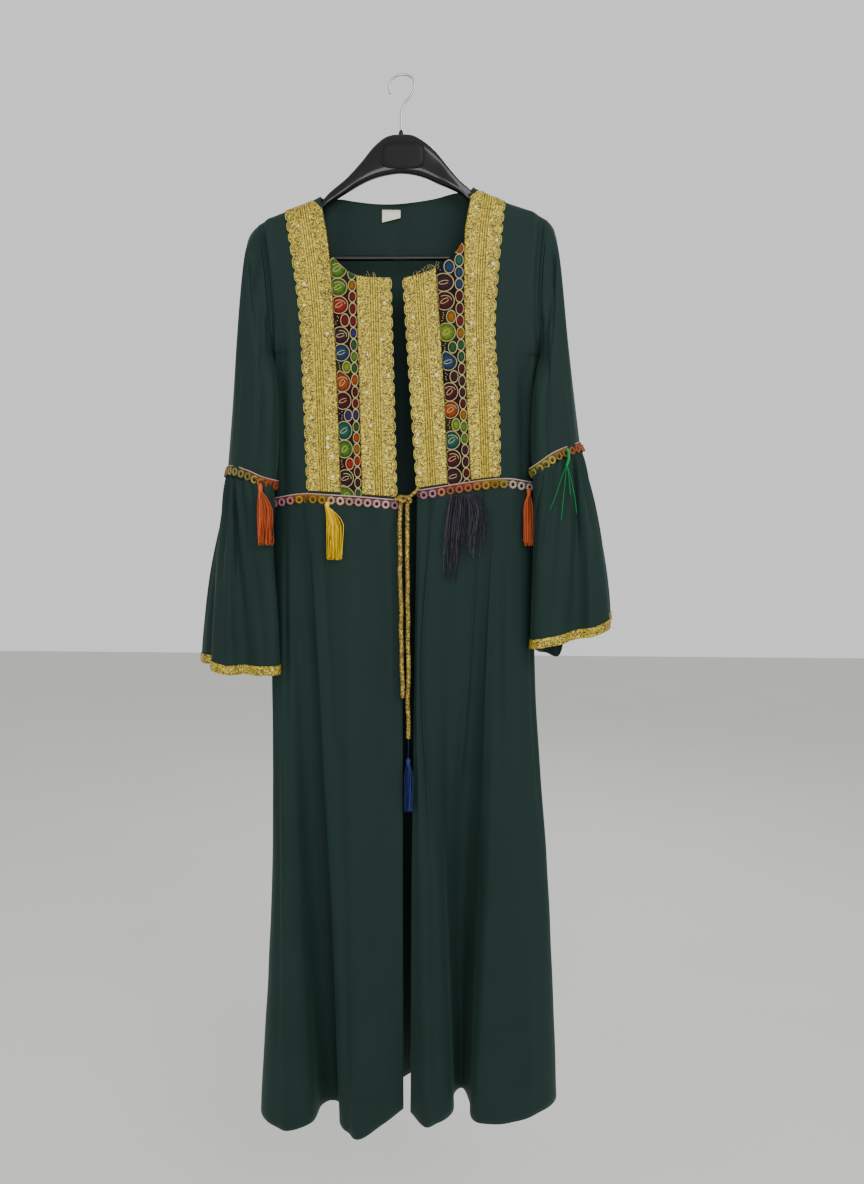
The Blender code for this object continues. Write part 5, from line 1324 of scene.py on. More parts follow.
class ABAYA_OT_stage(bpy.types.Operator):
    """Pale floor, soft light and the camera"""

    bl_idname = "abaya.stage"
    bl_label = "Stage"

    def execute(self, context):
        scene = context.scene
        self.camera(scene)
        scene.world = bpy.data.worlds.new("studio")
        scene.world.use_nodes = True
        sky = scene.world.node_tree
        feed(sky, sky.nodes["Background"], {"Color": (*WORLD_GREY, 1.0), "Strength": WORLD_STRENGTH})
        self.floor()
        for name, spot_at, aim, size, power in LAMPS:
            lamp = bpy.data.lights.new(name, "AREA")
            lamp.shape = "SQUARE"
            lamp.size = size
            lamp.energy = power
            light = add_object(name, lamp)
            light.location = spot_at
            light.rotation_euler = (Vector(aim) - Vector(spot_at)).to_track_quat("-Z", "Y").to_euler()
        return {"FINISHED"}

    def camera(self, scene):
        pitch, roll = math.radians(CAMERA_PITCH), math.radians(CAMERA_ROLL)
        forward = Vector((0.0, math.cos(pitch), math.sin(pitch)))
        right = Vector((1, 0, 0))
        up = right.cross(forward)
        c, s = math.cos(roll), math.sin(roll)
        turned = Matrix((c * right + s * up, c * up - s * right, -forward)).transposed().to_4x4()
        lens = bpy.data.cameras.new("camera")
        lens.sensor_width = SENSOR
        lens.lens = SENSOR * FOCAL_SHARE
        scene.camera = add_object("camera", lens)
        scene.camera.matrix_world = Matrix.Translation(CAMERA_AT) @ turned

    def floor(self):
        bm = bmesh.new()
        bmesh.ops.create_grid(bm, x_segments=1, y_segments=1, size=FLOOR_HALF)
        bmesh.ops.translate(bm, vec=(0.0, 0.0, FLOOR_Z), verts=bm.verts)
        floor = bpy.data.meshes.new("floor")
        bm.to_mesh(floor)
        bm.free()
        pale, tree, shader = finish("pale_floor", (0.58, 0.58, 0.565), 0.9)
        slow = cloud(tree, spot(tree), 3.0)
        feed(tree, shader, {"Base Color": mix(tree, slow, (0.56, 0.56, 0.545), (0.6, 0.6, 0.585))})
        floor.materials.append(pale)
        add_object("floor", floor)


class ABAYA_OT_tie(bpy.types.Operator):
    """The twisted gold tie: its knot and two free ends"""

    bl_idname = "abaya.tie"
    bl_label = "Tie"

    def execute(self, context):
        radius = context.scene.abaya_trim.cord / 2 / MM * 0.97
        paint = made(gold, "metal_cord", (0.223, 0.154, 0.024), 620.0, False)
        for name, route, far in (
            ("tie_cord_left", LEFT_CORD_ROUTE, "bare"), ("tie_cord_right", RIGHT_CORD_ROUTE, "fitting"),
        ):
            path, length = even(route, 1.6)
            rope = rope_mesh(name, path, radius, 2, 15.0, 16)
            cord = place(f"{name}_rope", rope, paint, (name,))
            PANELS[name] = (cord, path, length, far)
        strands = (even(route, 1.4)[0] for route in (LEFT_KNOT, RIGHT_KNOT))
        knot = [rope_mesh("knot", path, radius * 0.86, 2, 13.0, 14) for path in strands]
        place("tie_knot_rope", joined("tie_knot_rope", knot), paint, ("tie_knot",))
        return {"FINISHED"}


class ABAYA_OT_cloth(bpy.types.Operator):
    """Bodice, skirt, sleeves and flares in dark crepe"""

    bl_idname = "abaya.cloth"
    bl_label = "Cloth"

    def execute(self, context):
        sizes = context.scene.abaya_cloth
        paint = made(crepe, tuple(sizes.colour))
        deep = sizes.crease
        pieces = [
            ("back_bodice", back_panel(deep), "hung"),
            ("back_skirt", skirt_panel(LEFT_SEAM - SEAM_OVER, RIGHT_SEAM + SEAM_OVER, deep), "gathered"),
        ]
        for side, front, rings, folds, ends, out in (
            ("left", LEFT_FRONT, LEFT_RINGS, LEFT_FLARE, (0, LEFT_SEAM), -1),
            ("right", RIGHT_FRONT, RIGHT_RINGS, RIGHT_FLARE, (RIGHT_SEAM, len(FOLDS) - 1), 1),
        ):
            pieces += [
                (f"front_bodice_{side}", front_panel(front, deep), "hung"),
                (f"front_skirt_{side}", skirt_panel(*ends, deep), "gathered"),
                (f"upper_sleeve_{side}", sleeve_panel(front, rings, out, deep), "hung"),
                (f"sleeve_flare_{side}", flare_panel(rings[-1], folds, deep), "gathered"),
            ]
        for name, panel, held in pieces:
            PANELS[name] = panel
            obj = place(f"{name}_cloth", panel.mesh(name), paint, (name,))
            thicken(obj, sizes.thick)
            wide, tall = panel.cut()
            area = min(max(panel.area(), 0.3 * wide * tall), wide * tall)
        return {"FINISHED"}


# Gold braid

def braid_band(name, panel, columns, rows, top_cut, edges, paint, lift):
    """A braid band with corded middle lines, lacy sides and scalloped edges."""
    out_i, in_i = columns
    short, corner = top_cut
    marks = np.linspace(*rows, 500)
    run = distances(panel.at((out_i + in_i) / 2, marks)[0])
    total = run[-1]
    pitch = total / int(round(total / SCALLOP_PITCH))
    reach = np.linspace(0.0, total - short, int(total / 1.45))
    shares = np.linspace(0, 1, 41)
    near_neck = np.clip((shares - 0.7) / 0.3, 0.0, 1.0)
    cut = short + corner * near_neck**2 * (3 - 2 * near_neck)
    length = reach[:, None] * ((total - cut) / (total - short))[None]
    j = np.interp(length, run, marks)
    wave = SCALLOP_DEPTH * np.clip(1 - 1.25 * np.abs(np.sin(math.pi * reach / pitch)), 0, None)
    wave = wave + 0.45 * np.abs(np.sin(math.pi * reach / pitch * 4))
    wide = np.linalg.norm(panel.at(in_i, j[:, 0])[0] - panel.at(out_i, j[:, 0])[0], axis=1)
    start = (wave if edges[0] else 0.4) / wide
    stop = 1 - (wave if edges[1] else 0.4) / wide
    share = start[:, None] + (stop - start)[:, None] * shares[None]
    edge = np.minimum(shares, 1 - shares)[None] * wide[:, None]
    middle = (share - 0.5) * wide[:, None]
    stripe = np.abs(middle) < STRIPE_HALF
    lace = np.sin(length * 1.55) * np.sin(middle * 1.35 + 0.9 * np.sin(length * 0.34))
    rise = turn(edge / 1.6, 2.0) * 0.9 + 0.25 * np.exp(-(((edge - 2.4) / 0.9) ** 2))
    rise = rise + np.where(stripe, 0.25 * np.cos(middle * math.tau / STRIPE_PITCH), 0.3 * lace)
    points, _ = panel.at(out_i + (in_i - out_i) * share, j, lift - 0.9 + rise)
    strip = Panel(points, reach, shares, faces_front=True)
    obj = place(f"{name}_braid", strip.mesh(name, uv=(length, middle)), paint, (name,))
    thicken(obj, 0.9 * MM)
    outlines = [points[:, k] + strip.normals[:, k] * 0.5 for k in (0, -1) if edges[k]]
    return strip, total - short, outlines


def sequin_places(strip, length, spacing, rng):
    """Places along a band's two lacy sides for its sequins, and the way each faces."""
    found = []
    place_at = rng.uniform(0.2, 0.8) * spacing
    while place_at < length - 4:
        row = rng.choice((0.12, 0.2, 0.3, 0.7, 0.8, 0.88)) + rng.uniform(-0.04, 0.04)
        found.append(strip.at(place_at, row, 0.35))
        place_at += spacing * rng.uniform(0.35, 1.65)
    return found


class ABAYA_OT_braid(bpy.types.Operator):
    """Gold braid bands on the bodice and round the cuffs, with sequins"""

    bl_idname = "abaya.braid"
    bl_label = "Gold braid"

    def execute(self, context):
        sizes = context.scene.abaya_braid
        paint = made(gold, "metal_braid", tuple(sizes.gold), 820.0, True)
        rng = random.Random(sizes.seed)
        lift = sizes.lift / MM
        sequins, outlines = [], []
        for side, top_cut in (("left", (13, 18)), ("right", (11, 16))):
            panel = PANELS[f"front_bodice_{side}"]
            for name, columns, rows, cut, edges in (
                (f"outer_band_{side}", (BAND_OUT, BAND_IN), (WAIST_ROW, LAST_ROW), top_cut, (True, False)),
                (f"inner_band_{side}", (INSERT_IN, CENTRE), (WAIST_ROW, NECK_ROW), (0.5, 0), (False, True)),
            ):
                strip, length, lines = braid_band(name, panel, columns, rows, cut, edges, paint, lift)
                sequins += sequin_places(strip, length, sizes.spacing / MM, rng)
                outlines += lines
            self.cuff(side, paint, lift)
        bright = made(plain_thread, "bright_thread", (0.58, 0.5, 0.11))
        threads("braid_outlines", outlines, MM, bright, 5, 1.0)
        points, normals = zip(*sequins)
        repeated(
            "sequins", points, normals, [(1, 0, 0)] * len(sequins),
            [rng.choice((0.45, 0.6, 0.8, 1.0)) for _ in sequins], (0.95, 0.9, 0.52), disc_shape(),
            sizes.sequin, made(tinted, "sequin_silver", 0.45, 2600.0, 0.2),
        )
        return {"FINISHED"}

    def cuff(self, side, paint, lift):
        """Flat braid round a flare's hem."""
        panel = PANELS[f"sleeve_flare_{side}"]
        fine = np.linspace(panel.across[0], panel.across[0] + len(panel.across) * 0.1, 420)[:-1]
        low, high = (panel.at(fine, row)[0] for row in (1.0, 0.93))
        tall = np.linalg.norm(high - low, axis=1) / 0.07
        shares = np.linspace(0, 1, 15)
        j = 1 - shares[None] * (BRAID_TALL / tall)[:, None]
        run = distances(np.concatenate([low, low[:1]]))
        rise = 0.5 * np.sin(math.pi * shares)[None] + 0.25 * np.cos(shares * math.pi * 8)[None]
        rise = rise + 0.25 * np.sin(run[:-1] * 1.5)[:, None] * np.sin(shares * math.pi * 3)[None]
        points, _ = panel.at(fine[:, None], j, lift * 0.75 + rise)
        uv = np.meshgrid(run, 20.0 + shares * BRAID_TALL, indexing="ij")
        mesh = Panel(points, fine, shares, closed=True).mesh(f"cuff_{side}", uv=uv)
        obj = place(f"cuff_braid_{side}_braid", mesh, paint, (f"cuff_braid_{side}",))
        thicken(obj, 0.8 * MM)


# Embroidered strips

def front_surface(x, z, out):
    """Points over the bodice's front at places across and up it."""
    slope_x = (depth_at(x - 1, z, -1) - depth_at(x + 1, z, -1)) / 2
    slope_z = (depth_at(x, z - 1, -1) - depth_at(x, z + 1, -1)) / 2
    normal = unit(np.stack([slope_x, -np.ones(np.shape(x)), slope_z], -1))
    return np.stack([x, -depth_at(x, z, -1), z], -1) + normal * np.asarray(out, float)[..., None]


def strip_edges(front, z):
    """The embroidered strip's left and right edges at a height."""
    a, b = through(front.band_in, z), through(front.insert_in, z)
    return np.minimum(a, b), np.maximum(a, b)


def ornament(front, centre, half, colour, kind):
    """One embroidered oval or leaf: its domed filling and its pale outline, as rings of points."""
    a = np.linspace(0, math.tau, 28, endpoint=False)
    point = np.maximum(np.sin(a), 0) ** 3 * (kind == "drop")
    shape_x = np.cos(a) * (1 - 0.3 * point) - 0.34 * point
    shape_z = np.sin(a) * (1 + 0.22 * point)
    thin = 1 / min(half)
    edge = 1 - 0.95 * thin
    points, tint = [], []
    # Each row is a ring's radius, its height, and its shade: none on the pale outline. The shades paint
    # light on the domed filling: a painted highlight at its middle and painted shade darkening towards its
    # rim.
    for radius, height, shade in (
        (0.02, 0.62, 1.1), (edge * 0.35, 0.64, 1.0), (edge * 0.62, 0.58, 0.7), (edge * 0.85, 0.42, 0.42),
        (edge * 0.97, 0.16, 0.3), (edge, 0.1, 0), (edge + 0.3 * thin, 0.62, 0),
        (1 - 0.3 * thin, 0.7, 0), (1.0, 0.35, 0), (1 + 0.1 * thin, -0.3, 0),
    ):
        x = centre[0] + half[0] * radius * shape_x
        z = centre[1] + half[1] * radius * shape_z
        low, high = strip_edges(front, z)
        x = np.clip(x, low + 0.3, high - 0.3)
        z = np.clip(z, through(front.waist, x) + 7.0, through(front.neck, x) - 0.6)
        points.append(front_surface(x, z, np.full(x.shape, 0.55 + height)))
        rays = 1 + 0.16 * np.cos(a * 8)
        tint.append(np.outer(rays, colour) * shade if shade else np.tile(CREAM, (len(a), 1)))
    return np.array(points).transpose(1, 0, 2), np.array(tint).transpose(1, 0, 2)


def swirl(front, centre, half, rng):
    """The pale curl inside an ornament: a slanted eye with a tail."""
    slant = rng.uniform(0.3, 1.2)
    strokes = []
    for start, stop, long, thin in ((0.2, 5.6, 0.5, 0.22), (-0.6, 1.5, 0.7, 0.66)):
        a = np.linspace(start, stop, 11)
        u, v = long * np.cos(a), thin * np.sin(a)
        x = centre[0] + half[0] * (u * math.cos(slant) - v * math.sin(slant))
        z = centre[1] + half[1] * (u * math.sin(slant) + v * math.cos(slant)) * 0.8
        low, high = strip_edges(front, z)
        x, z = np.clip(x, low + 1.2, high - 1.2), np.minimum(z, through(front.neck, x) - 1.5)
        strokes.append(front_surface(x, z, np.full(x.shape, 1.35)))
    return strokes[: 1 if rng.random() < 0.4 else 2]


def specks(low, z, rng):
    """Small pale stitches beside a middle-sized ornament."""
    strokes = []
    for k in range(5):
        x = low + rng.uniform(1.5, 5.5) + np.array((0, 0.5, 1))
        high = np.full(3, z + (k - 2) * 2.6 + rng.uniform(-0.6, 0.6))
        strokes.append(front_surface(x, high, (0.7, 1.1, 0.7)))
    return strokes


class ABAYA_OT_insert(bpy.types.Operator):
    """Embroidered strips between the gold bands"""

    bl_idname = "abaya.insert"
    bl_label = "Embroidered strips"

    def execute(self, context):
        for side, front, columns, seed, bottom in (
            ("left", LEFT_FRONT, (WIDE_LEFT, NARROW_LEFT), 11, -590),
            ("right", RIGHT_FRONT, (WIDE_RIGHT, NARROW_RIGHT), 23, -582),
        ):
            self.ground(side, self.ornaments(side, front, columns, random.Random(seed), bottom))
        return {"FINISHED"}

    def ground(self, side, heights):
        """The dark cloth behind the ornaments, its shade following theirs."""
        i, j = np.linspace(BAND_IN + 0.02, INSERT_IN - 0.02, 25), np.linspace(WAIST_ROW, NECK_ROW, 120)
        points, _ = PANELS[f"front_bodice_{side}"].at(i[:, None], j[None], 0.55)
        places, colours = np.array([row[0] for row in heights]), np.array([row[1] for row in heights])
        shades = [np.interp(points[..., 2], places[::-1], colours[::-1, c]) for c in range(3)]
        tint = np.stack(shades, -1) * 0.08 + (0.006, 0.003, 0.004)
        mesh = Panel(points, i, j, faces_front=True).mesh(f"insert_{side}", tint=tint)
        paint = made(tinted, "insert_ground", 0.8, 1500.0, 0.5)
        thicken(place(f"insert_{side}_ground", mesh, paint, (f"insert_{side}",)), 0.4 * MM)

    def ornaments(self, side, front, columns, rng, bottom):
        """Both columns of ornaments down a strip; gives the wide column's heights and colours."""
        parts, curls, heights = [], [], []
        for share, above, row, gap in ((0.3, 3, columns[0], -0.9), (0.83, 7, columns[1], -0.7)):
            low, high = strip_edges(front, -265.0)
            z = float(through(front.neck, low + (high - low) * share)) + above
            k = 0
            while z > bottom:
                low, high = (float(edge) for edge in strip_edges(front, z - 10.0))
                colour, kind = row[k % len(row)]
                wide, tall, middle, least = KINDS[kind]
                half = ((high - low) * wide, tall * rng.uniform(least, 1.06))
                centre = (low + (high - low) * middle, z - half[1])
                points, tint = ornament(front, centre, half, PALETTE[colour], kind)
                shape = Panel(points, np.arange(len(points)), np.arange(points.shape[1]), closed=True)
                shape.face(shape.find_normals()[..., 1].mean() < 0)
                parts.append(shape.mesh("ornament", tint=tint))
                if kind in ("eye", "drop"):
                    curls += swirl(front, centre, half, rng)
                if kind == "pip":
                    curls += specks(low, centre[1], rng)
                if kind != "oval":
                    heights.append((centre[1], PALETTE[colour]))
                z -= half[1] * 2 + gap
                k += 1
        stitch = made(tinted, "satin_stitch", 0.5, 2400.0, 0.6)
        thicken(place(f"ornaments_{side}", joined(f"ornaments_{side}", parts), stitch), 0.25 * MM)
        cream = made(plain_thread, "cream_thread", CREAM)
        threads(f"ornament_curls_{side}", curls, MM, cream, tip=0.5)
        return heights


# Looped trims

def shades_at(rows, share, field):
    places, values = [row.share for row in rows], np.array([getattr(row, field) for row in rows])
    return np.stack([np.interp(share, places, values[:, c]) for c in range(3)], -1)


def looped_trim(name, low, high, normal, closed, shades, sizes):
    """A looped trim from rows of its lower and upper edges: ribbon, top cord and hanging loops."""
    ribbon = made(tinted, "trim_ribbon", 0.6, 1300.0, 0.7)
    loops = made(tinted, "trim_loops", 0.5, 1400.0, 0.7)
    run = distances(np.concatenate([low, low[:1]]) if closed else low)
    total, run = run[-1], run[: len(low)]
    share = run / total
    t = np.linspace(0.4, 1.0, 13)
    rise = 0.4 * np.sin(run * math.tau / 4.2)[:, None] * np.sin(math.pi * (t[None] - 0.4) / 0.6 * 2)
    rise = rise + 0.6 * turn(np.minimum(t - 0.4, 1.0 - t) * 15 / 1.2, 2.0)[None]
    body = low[:, None] + (high - low)[:, None] * t[:, None] + normal[:, None] * (0.5 + rise)[..., None]
    tint = np.broadcast_to(shades_at(shades, share, "ribbon")[:, None], body.shape)
    pale = shades_at(shades, share, "loops")[:, None]
    stitched = (np.sin(run * math.tau / 3.9) > 0.35)[:, None, None] & (np.abs(t - 0.76) < 0.06)[:, None]
    tint = np.where(stitched, tint * 0.45 + pale * 0.55, tint)
    tint = np.where((t < 0.56)[:, None], tint * 0.5, tint)
    strip = Panel(body, np.arange(len(body)), t, closed=closed)
    strip.face((strip.find_normals() * normal[:, None]).sum() > 0)
    thicken(place(f"{name}_ribbon", strip.mesh(name, tint=tint), ribbon, (name,)), 0.8 * MM)
    edge = high + normal * 1.0 + unit(high - low) * 0.2
    edge = np.concatenate([edge, edge[:2]]) if closed else edge
    cord_tint = shades_at(shades, np.interp(np.arange(len(edge)), np.arange(len(share)), share), "loops")
    cord_tint = cord_tint * 0.45 + np.array((0.5, 0.38, 0.4)) * 0.55
    place(f"{name}_edge", rope_mesh(f"{name}_edge", edge, 0.95, 2, 4.2, 10, cord_tint), loops)
    k = np.arange(int(round(total / LOOP_PITCH)) * 2)
    at, big = (k + 0.5) / len(k) * total, k % 2 == 0
    bottom, top, out = (
        np.stack([np.interp(at, run, column) for column in rows.T], -1) for rows in (low, high, normal)
    )
    out = unit(out)
    points = bottom + (top - bottom) * np.where(big, 0.78, 0.74)[:, None] + out * 1.3
    colours = shades_at(shades, at / total, "loops")
    colours = colours * np.where(big, 0.55 + 0.1 * (k * 7 % 5), 0.3)[:, None]
    repeated(
        f"{name}_loops", points, out, unit(top - bottom), np.where(big, 1.0, 0.62), colours,
        ringlet_shape(sizes.thread / sizes.loop), sizes.loop, loops,
    )


class ABAYA_OT_trims(bpy.types.Operator):
    """Looped trims along the waist and round the elbows"""

    bl_idname = "abaya.trims"
    bl_label = "Looped trims"

    def execute(self, context):
        sizes = context.scene.abaya_trim
        up = np.array((0, 0, 1))
        for name, start, end, shades in (
            ("waist_trim_left", 0.0, LEFT_SEAM - 0.6, WAIST_LEFT_SHADES),
            ("waist_trim_right", RIGHT_SEAM + 0.6, len(FOLDS) - 1.0, WAIST_RIGHT_SHADES),
        ):
            grid = skirt_surface(np.linspace(start, end, 420), np.array((0, 0.004)))
            point = grid[:, 0]
            normal = unit(np.cross(np.gradient(point, axis=0), grid[:, 1] - point) * (1, 1, 0))
            low = point + normal * 1.2 - up * TRIM_TALL * 0.6
            high = point + normal * 0.7 + up * TRIM_TALL * 0.4
            looped_trim(name, low, high, normal, False, shades, sizes)
        for name, rings, folds, rise, shades in (
            ("elbow_trim_left", LEFT_RINGS, LEFT_FLARE, LEFT_RISE, ELBOW_LEFT_SHADES),
            ("elbow_trim_right", RIGHT_RINGS, RIGHT_FLARE, RIGHT_RISE, ELBOW_RIGHT_SHADES),
        ):
            looped_trim(name, *elbow_edges(rings, folds, rise), True, shades, sizes)
        return {"FINISHED"}


def elbow_edges(rings, folds, rise):
    """Lower and upper edges of the trim round an elbow seam, and its outward directions."""
    ring = rings[-1]
    angle = np.linspace(0, math.tau, 361)[:-1]
    share = (angle / math.tau)[:, None]
    point = ring_points(ring, angle)
    axis = unit(np.array((-(ring.outer_z - ring.inner_z), 0.0, ring.outer_x - ring.inner_x)))
    axis = axis if axis[2] > 0 else -axis
    normal = unit(np.cross(np.roll(point, -1, axis=0) - np.roll(point, 1, axis=0), axis))
    normal = normal * np.sign((normal * (point - ring_middle(ring))).sum(axis=1, keepdims=True))
    lift = through(rise, np.degrees(angle))[:, None]
    spread = flare_surface(ring, folds, share[:, 0] * len(folds), np.array((0, 0.03)))[:, 1] - point
    above = unit(ring_points(rings[-2], angle) - point) * (TRIM_TALL / 2 + lift)
    low_out, high_out = (
        0.5 + np.maximum((way * normal).sum(axis=1, keepdims=True), 0.0) * k
        for way, k in ((spread, 1.2), (above, 1.0))
    )
    over_sleeve, over_flare = (
        out * np.exp(-(((share - centre) / wide) ** 2)) for out, centre, wide in ELBOW_BULGES
    )
    low_out = low_out + np.maximum(over_sleeve, over_flare)
    low = point + normal * low_out - axis * (TRIM_TALL / 2 - lift)
    return low, point + normal * (high_out + over_sleeve) + axis * (TRIM_TALL / 2 + lift), normal


# Tassels

def tassel_threads(row, rng):
    """Threads that leave a tassel's head, swell out and hang to uneven tips, and a shade for each, some of
    it painted shade.
    """
    head, half = np.array(row.head, float), np.array(row.half, float)
    lines, shades = [], []
    depth = min((row.right - row.left) * 0.3, 5.0)
    for k in range(row.threads):
        a, r = k * 2.39996, math.sqrt((k + 0.5) / row.threads)
        side, back = r * math.cos(a), r * math.sin(a)
        root = head + half * (side * 0.75, back * 0.75, -0.45)
        fall = row.fall - row.uneven * rng.random() ** 1.6
        across = row.left + (row.right - row.left) * (side + 1) / 2 + rng.uniform(-1.5, 1.5)
        tip = head + (across, back * depth - row.forward, -fall)
        sway = np.array((rng.uniform(-1.2, 1.2), rng.uniform(-0.5, 0.5), 0.0))
        line = []
        for f in (0.0, 0.1, 0.22, 0.36, 0.52, 0.7, 0.86, 1.0):
            out = math.sin(min(f / row.full, 1.0) * math.pi / 2)
            point = root + (tip - root) * (out, min(f * 1.6, 1.0), f)
            line.append(point + sway * math.sin(f * math.pi * 1.5))
        lines.append(line)
        # Every fourth thread is nearly black, painted shade among the threads; the others differ in tone at
        # random.
        shades.append(0.1 if k % 4 == 0 else rng.uniform(0.5, 1.5))
    return lines, shades


class ABAYA_OT_tassels(bpy.types.Operator):
    """Silky tassels, loose threads and the worn remnant on the right sleeve"""

    bl_idname = "abaya.tassels"
    bl_label = "Tassels"

    def execute(self, context):
        strand = context.scene.abaya_trim.strand
        rng = random.Random(5)
        for row in TASSELS:
            colour_name = row.name.split("_")[1]
            paint = made(silk, f"{colour_name}_silk", SILKS[colour_name])
            lines, shades = tassel_threads(row, rng)
            if colour_name == "blue":
                lines.append(BLUE_HANGER)
                shades.append(1.0)
            body = threads(
                f"{row.name}_threads", lines, strand * 0.7, paint, 5, 0.6, (row.name,), shades,
            )
            profile = [(row.half[0] * a, row.half[2] * b) for a, b in HEAD_PROFILE]
            head = turned_mesh(f"{row.name}_head", row.head, [(0.3, row.half[2] * 1.25)] + profile, 22, 0.06)
            tint_points(head, 1.0)
            PANELS[row.name] = (body, place(f"{row.name}_head", head, paint))
        self.charcoal(strand, rng)
        self.green(strand)
        return {"FINISHED"}

    def charcoal(self, strand, rng):
        """Two wispy bunches under the waist trim, one straight and one that curves away."""
        lines, shades = [], []
        for top, left, right, fall, bow, count in (
            ((84, -34.2, -594), -18, 3, 128, 0, 62), ((104, -34.2, -593), -12, 22, 92, 6, 58),
        ):
            top = np.array(top)
            for k in range(count):
                side = (k + 0.5) / count
                root = top + ((side - 0.5) * 18.0, rng.uniform(-1.0, 1.5), 0.0)
                tip_x = left + side * (right - left) + rng.uniform(-3, 3)
                length = fall * (1 - 0.5 * rng.random() ** 1.3)
                tip = top + (tip_x, -4.0 + rng.uniform(-1.5, 1.5), -length)
                bend = rng.uniform(-3.6, 3.6) + bow * (0.4 + side)
                lines.append([
                    root + (tip - root) * f + (bend * math.sin(f * math.pi), 0.6 * math.sin(f * 5 + k), 0.0)
                    for f in (0.0, 0.2, 0.4, 0.6, 0.8, 1.0)
                ])
                shades.append(rng.choice((0.4, 0.7, 1.4, 3.2)))
        paint = made(silk, "charcoal_thread", SILKS["charcoal"])
        replaced = ("tassel_charcoal",)
        threads("tassel_charcoal_threads", lines, strand * 0.48, paint, 4, 0.6, replaced, shades)

    def green(self, strand):
        """The loop and loose threads left on the right elbow trim."""
        paint = made(silk, "green_silk", SILKS["green"])
        threads(
            "tassel_green_threads", GREEN_TAILS, strand * 0.85, paint, 5, 0.5, ("tassel_green",),
        )
        wound = rope_mesh("tassel_green_loop", even(GREEN_LOOP, 1.0)[0], 2.2, 3, 5.0, 12)
        tint_points(wound, 1.0)
        place("tassel_green_loop", wound, paint)


class ABAYA_OT_hanger(bpy.types.Operator):
    """The glossy black hanger, its bar, bare plaque and wire hook"""

    bl_idname = "abaya.hanger"
    bl_label = "Hanger"

    def execute(self, context):
        gloss = made(plastic, "gloss_black", (0.0022, 0.0023, 0.0028), 0.2, 0.32)
        satin = made(plastic, "satin_black", (0.004, 0.004, 0.0044), 0.5)
        nub = turned_mesh("nub", NUB_AT, NUB_PROFILE, 24)
        place("hanger_arms", joined("hanger_arms", (self.arms(), nub)), gloss, ("hanger_body",))
        for name, route, step, radius, sides, paint, slot_name, node in (
            ("hanger_rail", BAR_ROUTE, 3.0, 4.0, 20, gloss, "hanger", "hanger_bar"),
            ("hook_wire", HOOK_ROUTE, 1.2, 1.75, 16, made(steel), "steel", "hanger_hook"),
        ):
            path = even([(a, 0.0, b) for a, b in route], step)[0]
            place(name, rope_mesh(name, path, radius, sides=sides), paint, (node,))
        place("plaque_plate", self.plate(), satin, ("hanger_plaque",))
        return {"FINISHED"}

    def arms(self):
        """The curved arms, with rounded ends."""
        table = np.array(ARMS, float)
        x = np.concatenate([[-198], np.linspace(-197, 199, 150), [200]])[:, None]
        top, bottom, half = (spline(table[:, 0], table[:, k], x) for k in (1, 2, 3))
        c, s = squared_circle(np.linspace(0, math.tau, 29)[:-1], 0.62)
        height = (top + bottom) / 2 + (top - bottom) / 2 * s
        points = np.stack([np.broadcast_to(x, height.shape), half * c, height], -1)
        ends = []
        for end, inward in ((points[0], 1), (points[-1], -1)):
            centre = end.mean(axis=0)
            ends.append([centre + (end - centre) * f - (inward * g, 0, 0) for f, g in ARM_END])
        points = np.concatenate([ends[0][::-1], points, ends[1]])
        return facing_out(grid_mesh("hanger_arms", points.transpose(1, 0, 2), closed=True))

    def plate(self):
        """A rounded plate with a raised rim and a narrow groove inside it."""
        c, s = squared_circle(np.linspace(0, math.tau, 73)[:-1], 0.55)
        points = []
        for inset, rise in PLATE_PROFILE:
            x, z = (PLAQUE_HALF[0] - inset * (1 if inset < 18 else 1.69)) * c, (PLAQUE_HALF[1] - inset) * s
            points.append(np.stack([PLAQUE_AT[0] + x, np.full(x.shape, -8.3 - rise), PLAQUE_AT[1] + z], -1))
        return facing_out(grid_mesh("plaque", np.array(points).transpose(1, 0, 2), closed=True), fill=True)


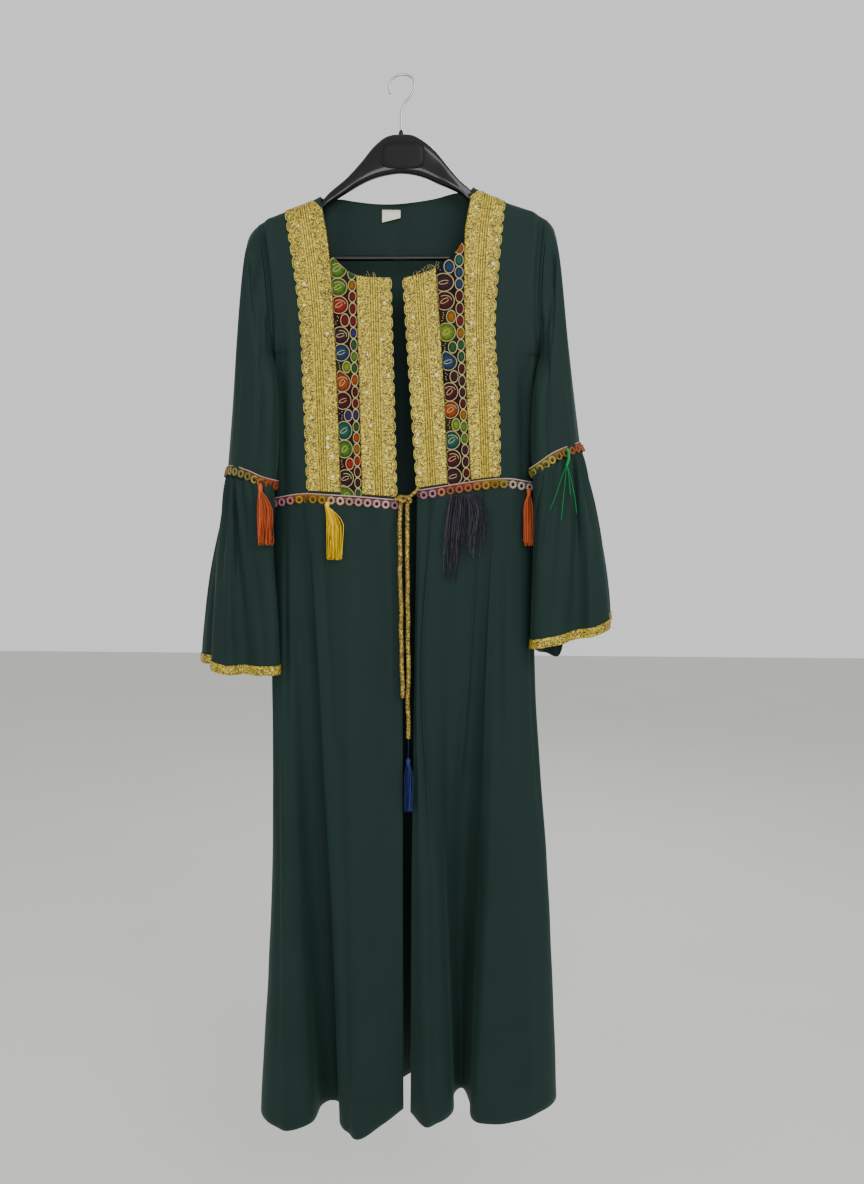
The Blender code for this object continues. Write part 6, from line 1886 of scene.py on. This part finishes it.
class ABAYA_OT_label(bpy.types.Operator):
    """The blank neck label, and stray threads at the neckline"""

    bl_idname = "abaya.label"
    bl_label = "Label and stray threads"

    def execute(self, context):
        x, share = np.linspace(-29, -2, 19), np.linspace(0, 1, 15)
        low = np.interp(x, (-29, -2), (-196, -189))
        z = -178.0 + (low + 178.0)[:, None] * share
        gx = np.broadcast_to(x[:, None], z.shape)
        curl = 1.2 * share**2 * np.interp(x, (-29, -2), (1.4, 0.3))[:, None]
        points = np.stack([gx, depth_at(gx, z, 1) - 1.9 - curl, z], -1)
        mesh = Panel(points, x, share, faces_front=True).mesh("label_tape")
        paint = made(plain_thread, "label_tape", (0.74, 0.71, 0.6))
        obj = thicken(place("label_tape", mesh, paint, ("neck_label",)), 0.5 * MM)
        stitches = []
        for k in range(9):
            a, z = -27.5 + k * 3.0, -179.5
            b = float(depth_at(a, z, 1)) - 2.3
            stitches.append([(a, b, z), (a + 0.9, b - 0.25, z), (a + 1.8, b, z)])
        cream = made(plain_thread, "cream_thread", CREAM)
        threads("label_stitches", stitches, 0.5 * MM, cream, 5, 1.0)
        self.strays()
        return {"FINISHED"}

    def strays(self):
        """Frayed thread ends over the cut neckline, and a few at the right flare's hem."""
        rng = random.Random(31)
        lines = []
        for front, low, high, count in ((LEFT_FRONT, -48, -30, 5), (RIGHT_FRONT, 10, 50, 13)):
            for _ in range(count):
                x = rng.uniform(low, high)
                z = float(through(front.neck, x))
                y = -float(depth_at(x, z, -1)) - 1.0
                long, lean = rng.uniform(2.5, 9.0), rng.uniform(-5.0, 5.0)
                lines.append([
                    (x, y, z - 2.0), (x + lean * 0.3, y - 0.6, z + long * 0.4),
                    (x + lean * 0.8, y - 1.2, z + long * 0.8), (x + lean * 1.3, y - 0.4, z + long),
                ])
        for x, y, z, back in HEM_STRAYS:
            lines.append([(x, y, z), (x - 3, y - 2, z - 5), (x - 8, back, z - 6.5)])
        pale = made(plain_thread, "pale_thread", (0.571, 0.504, 0.193))
        threads("stray_threads", lines, 0.34 * MM, pale, 4, 0.6)


class ABAYA_PT_sidebar(bpy.types.Panel):
    """The abaya's sizes, and one button for each group of pieces"""

    bl_label = "Abaya"
    bl_idname = "ABAYA_PT_sidebar"
    bl_space_type = "VIEW_3D"
    bl_region_type = "UI"
    bl_category = "Abaya"

    def draw(self, context):
        scene = context.scene
        for group in (scene.abaya_cloth, scene.abaya_braid, scene.abaya_trim):
            box = self.layout.box()
            for name in group.__annotations__:
                box.prop(group, name)
        for operator in OPERATORS:
            self.layout.operator(operator.bl_idname)


GROUPS = {"abaya_cloth": ClothSizes, "abaya_braid": BraidSizes, "abaya_trim": TrimSizes}
OPERATORS = (
    ABAYA_OT_stage, ABAYA_OT_tie, ABAYA_OT_cloth, ABAYA_OT_braid, ABAYA_OT_insert,
    ABAYA_OT_trims, ABAYA_OT_tassels, ABAYA_OT_hanger, ABAYA_OT_label,
)
CLASSES = (*GROUPS.values(), *OPERATORS, ABAYA_PT_sidebar)


def register():
    for kind in CLASSES:
        bpy.utils.register_class(kind)
    for name, group in GROUPS.items():
        setattr(bpy.types.Scene, name, PointerProperty(type=group))


def unregister():
    for name in GROUPS:
        delattr(bpy.types.Scene, name)
    for kind in reversed(CLASSES):
        bpy.utils.unregister_class(kind)


def main():
    register()
    bpy.ops.abaya.stage()
    bpy.ops.abaya.tie()
    bpy.ops.abaya.cloth()
    bpy.ops.abaya.braid()
    bpy.ops.abaya.insert()
    bpy.ops.abaya.trims()
    bpy.ops.abaya.tassels()
    bpy.ops.abaya.hanger()
    bpy.ops.abaya.label()


if __name__ == "__main__":
    main()
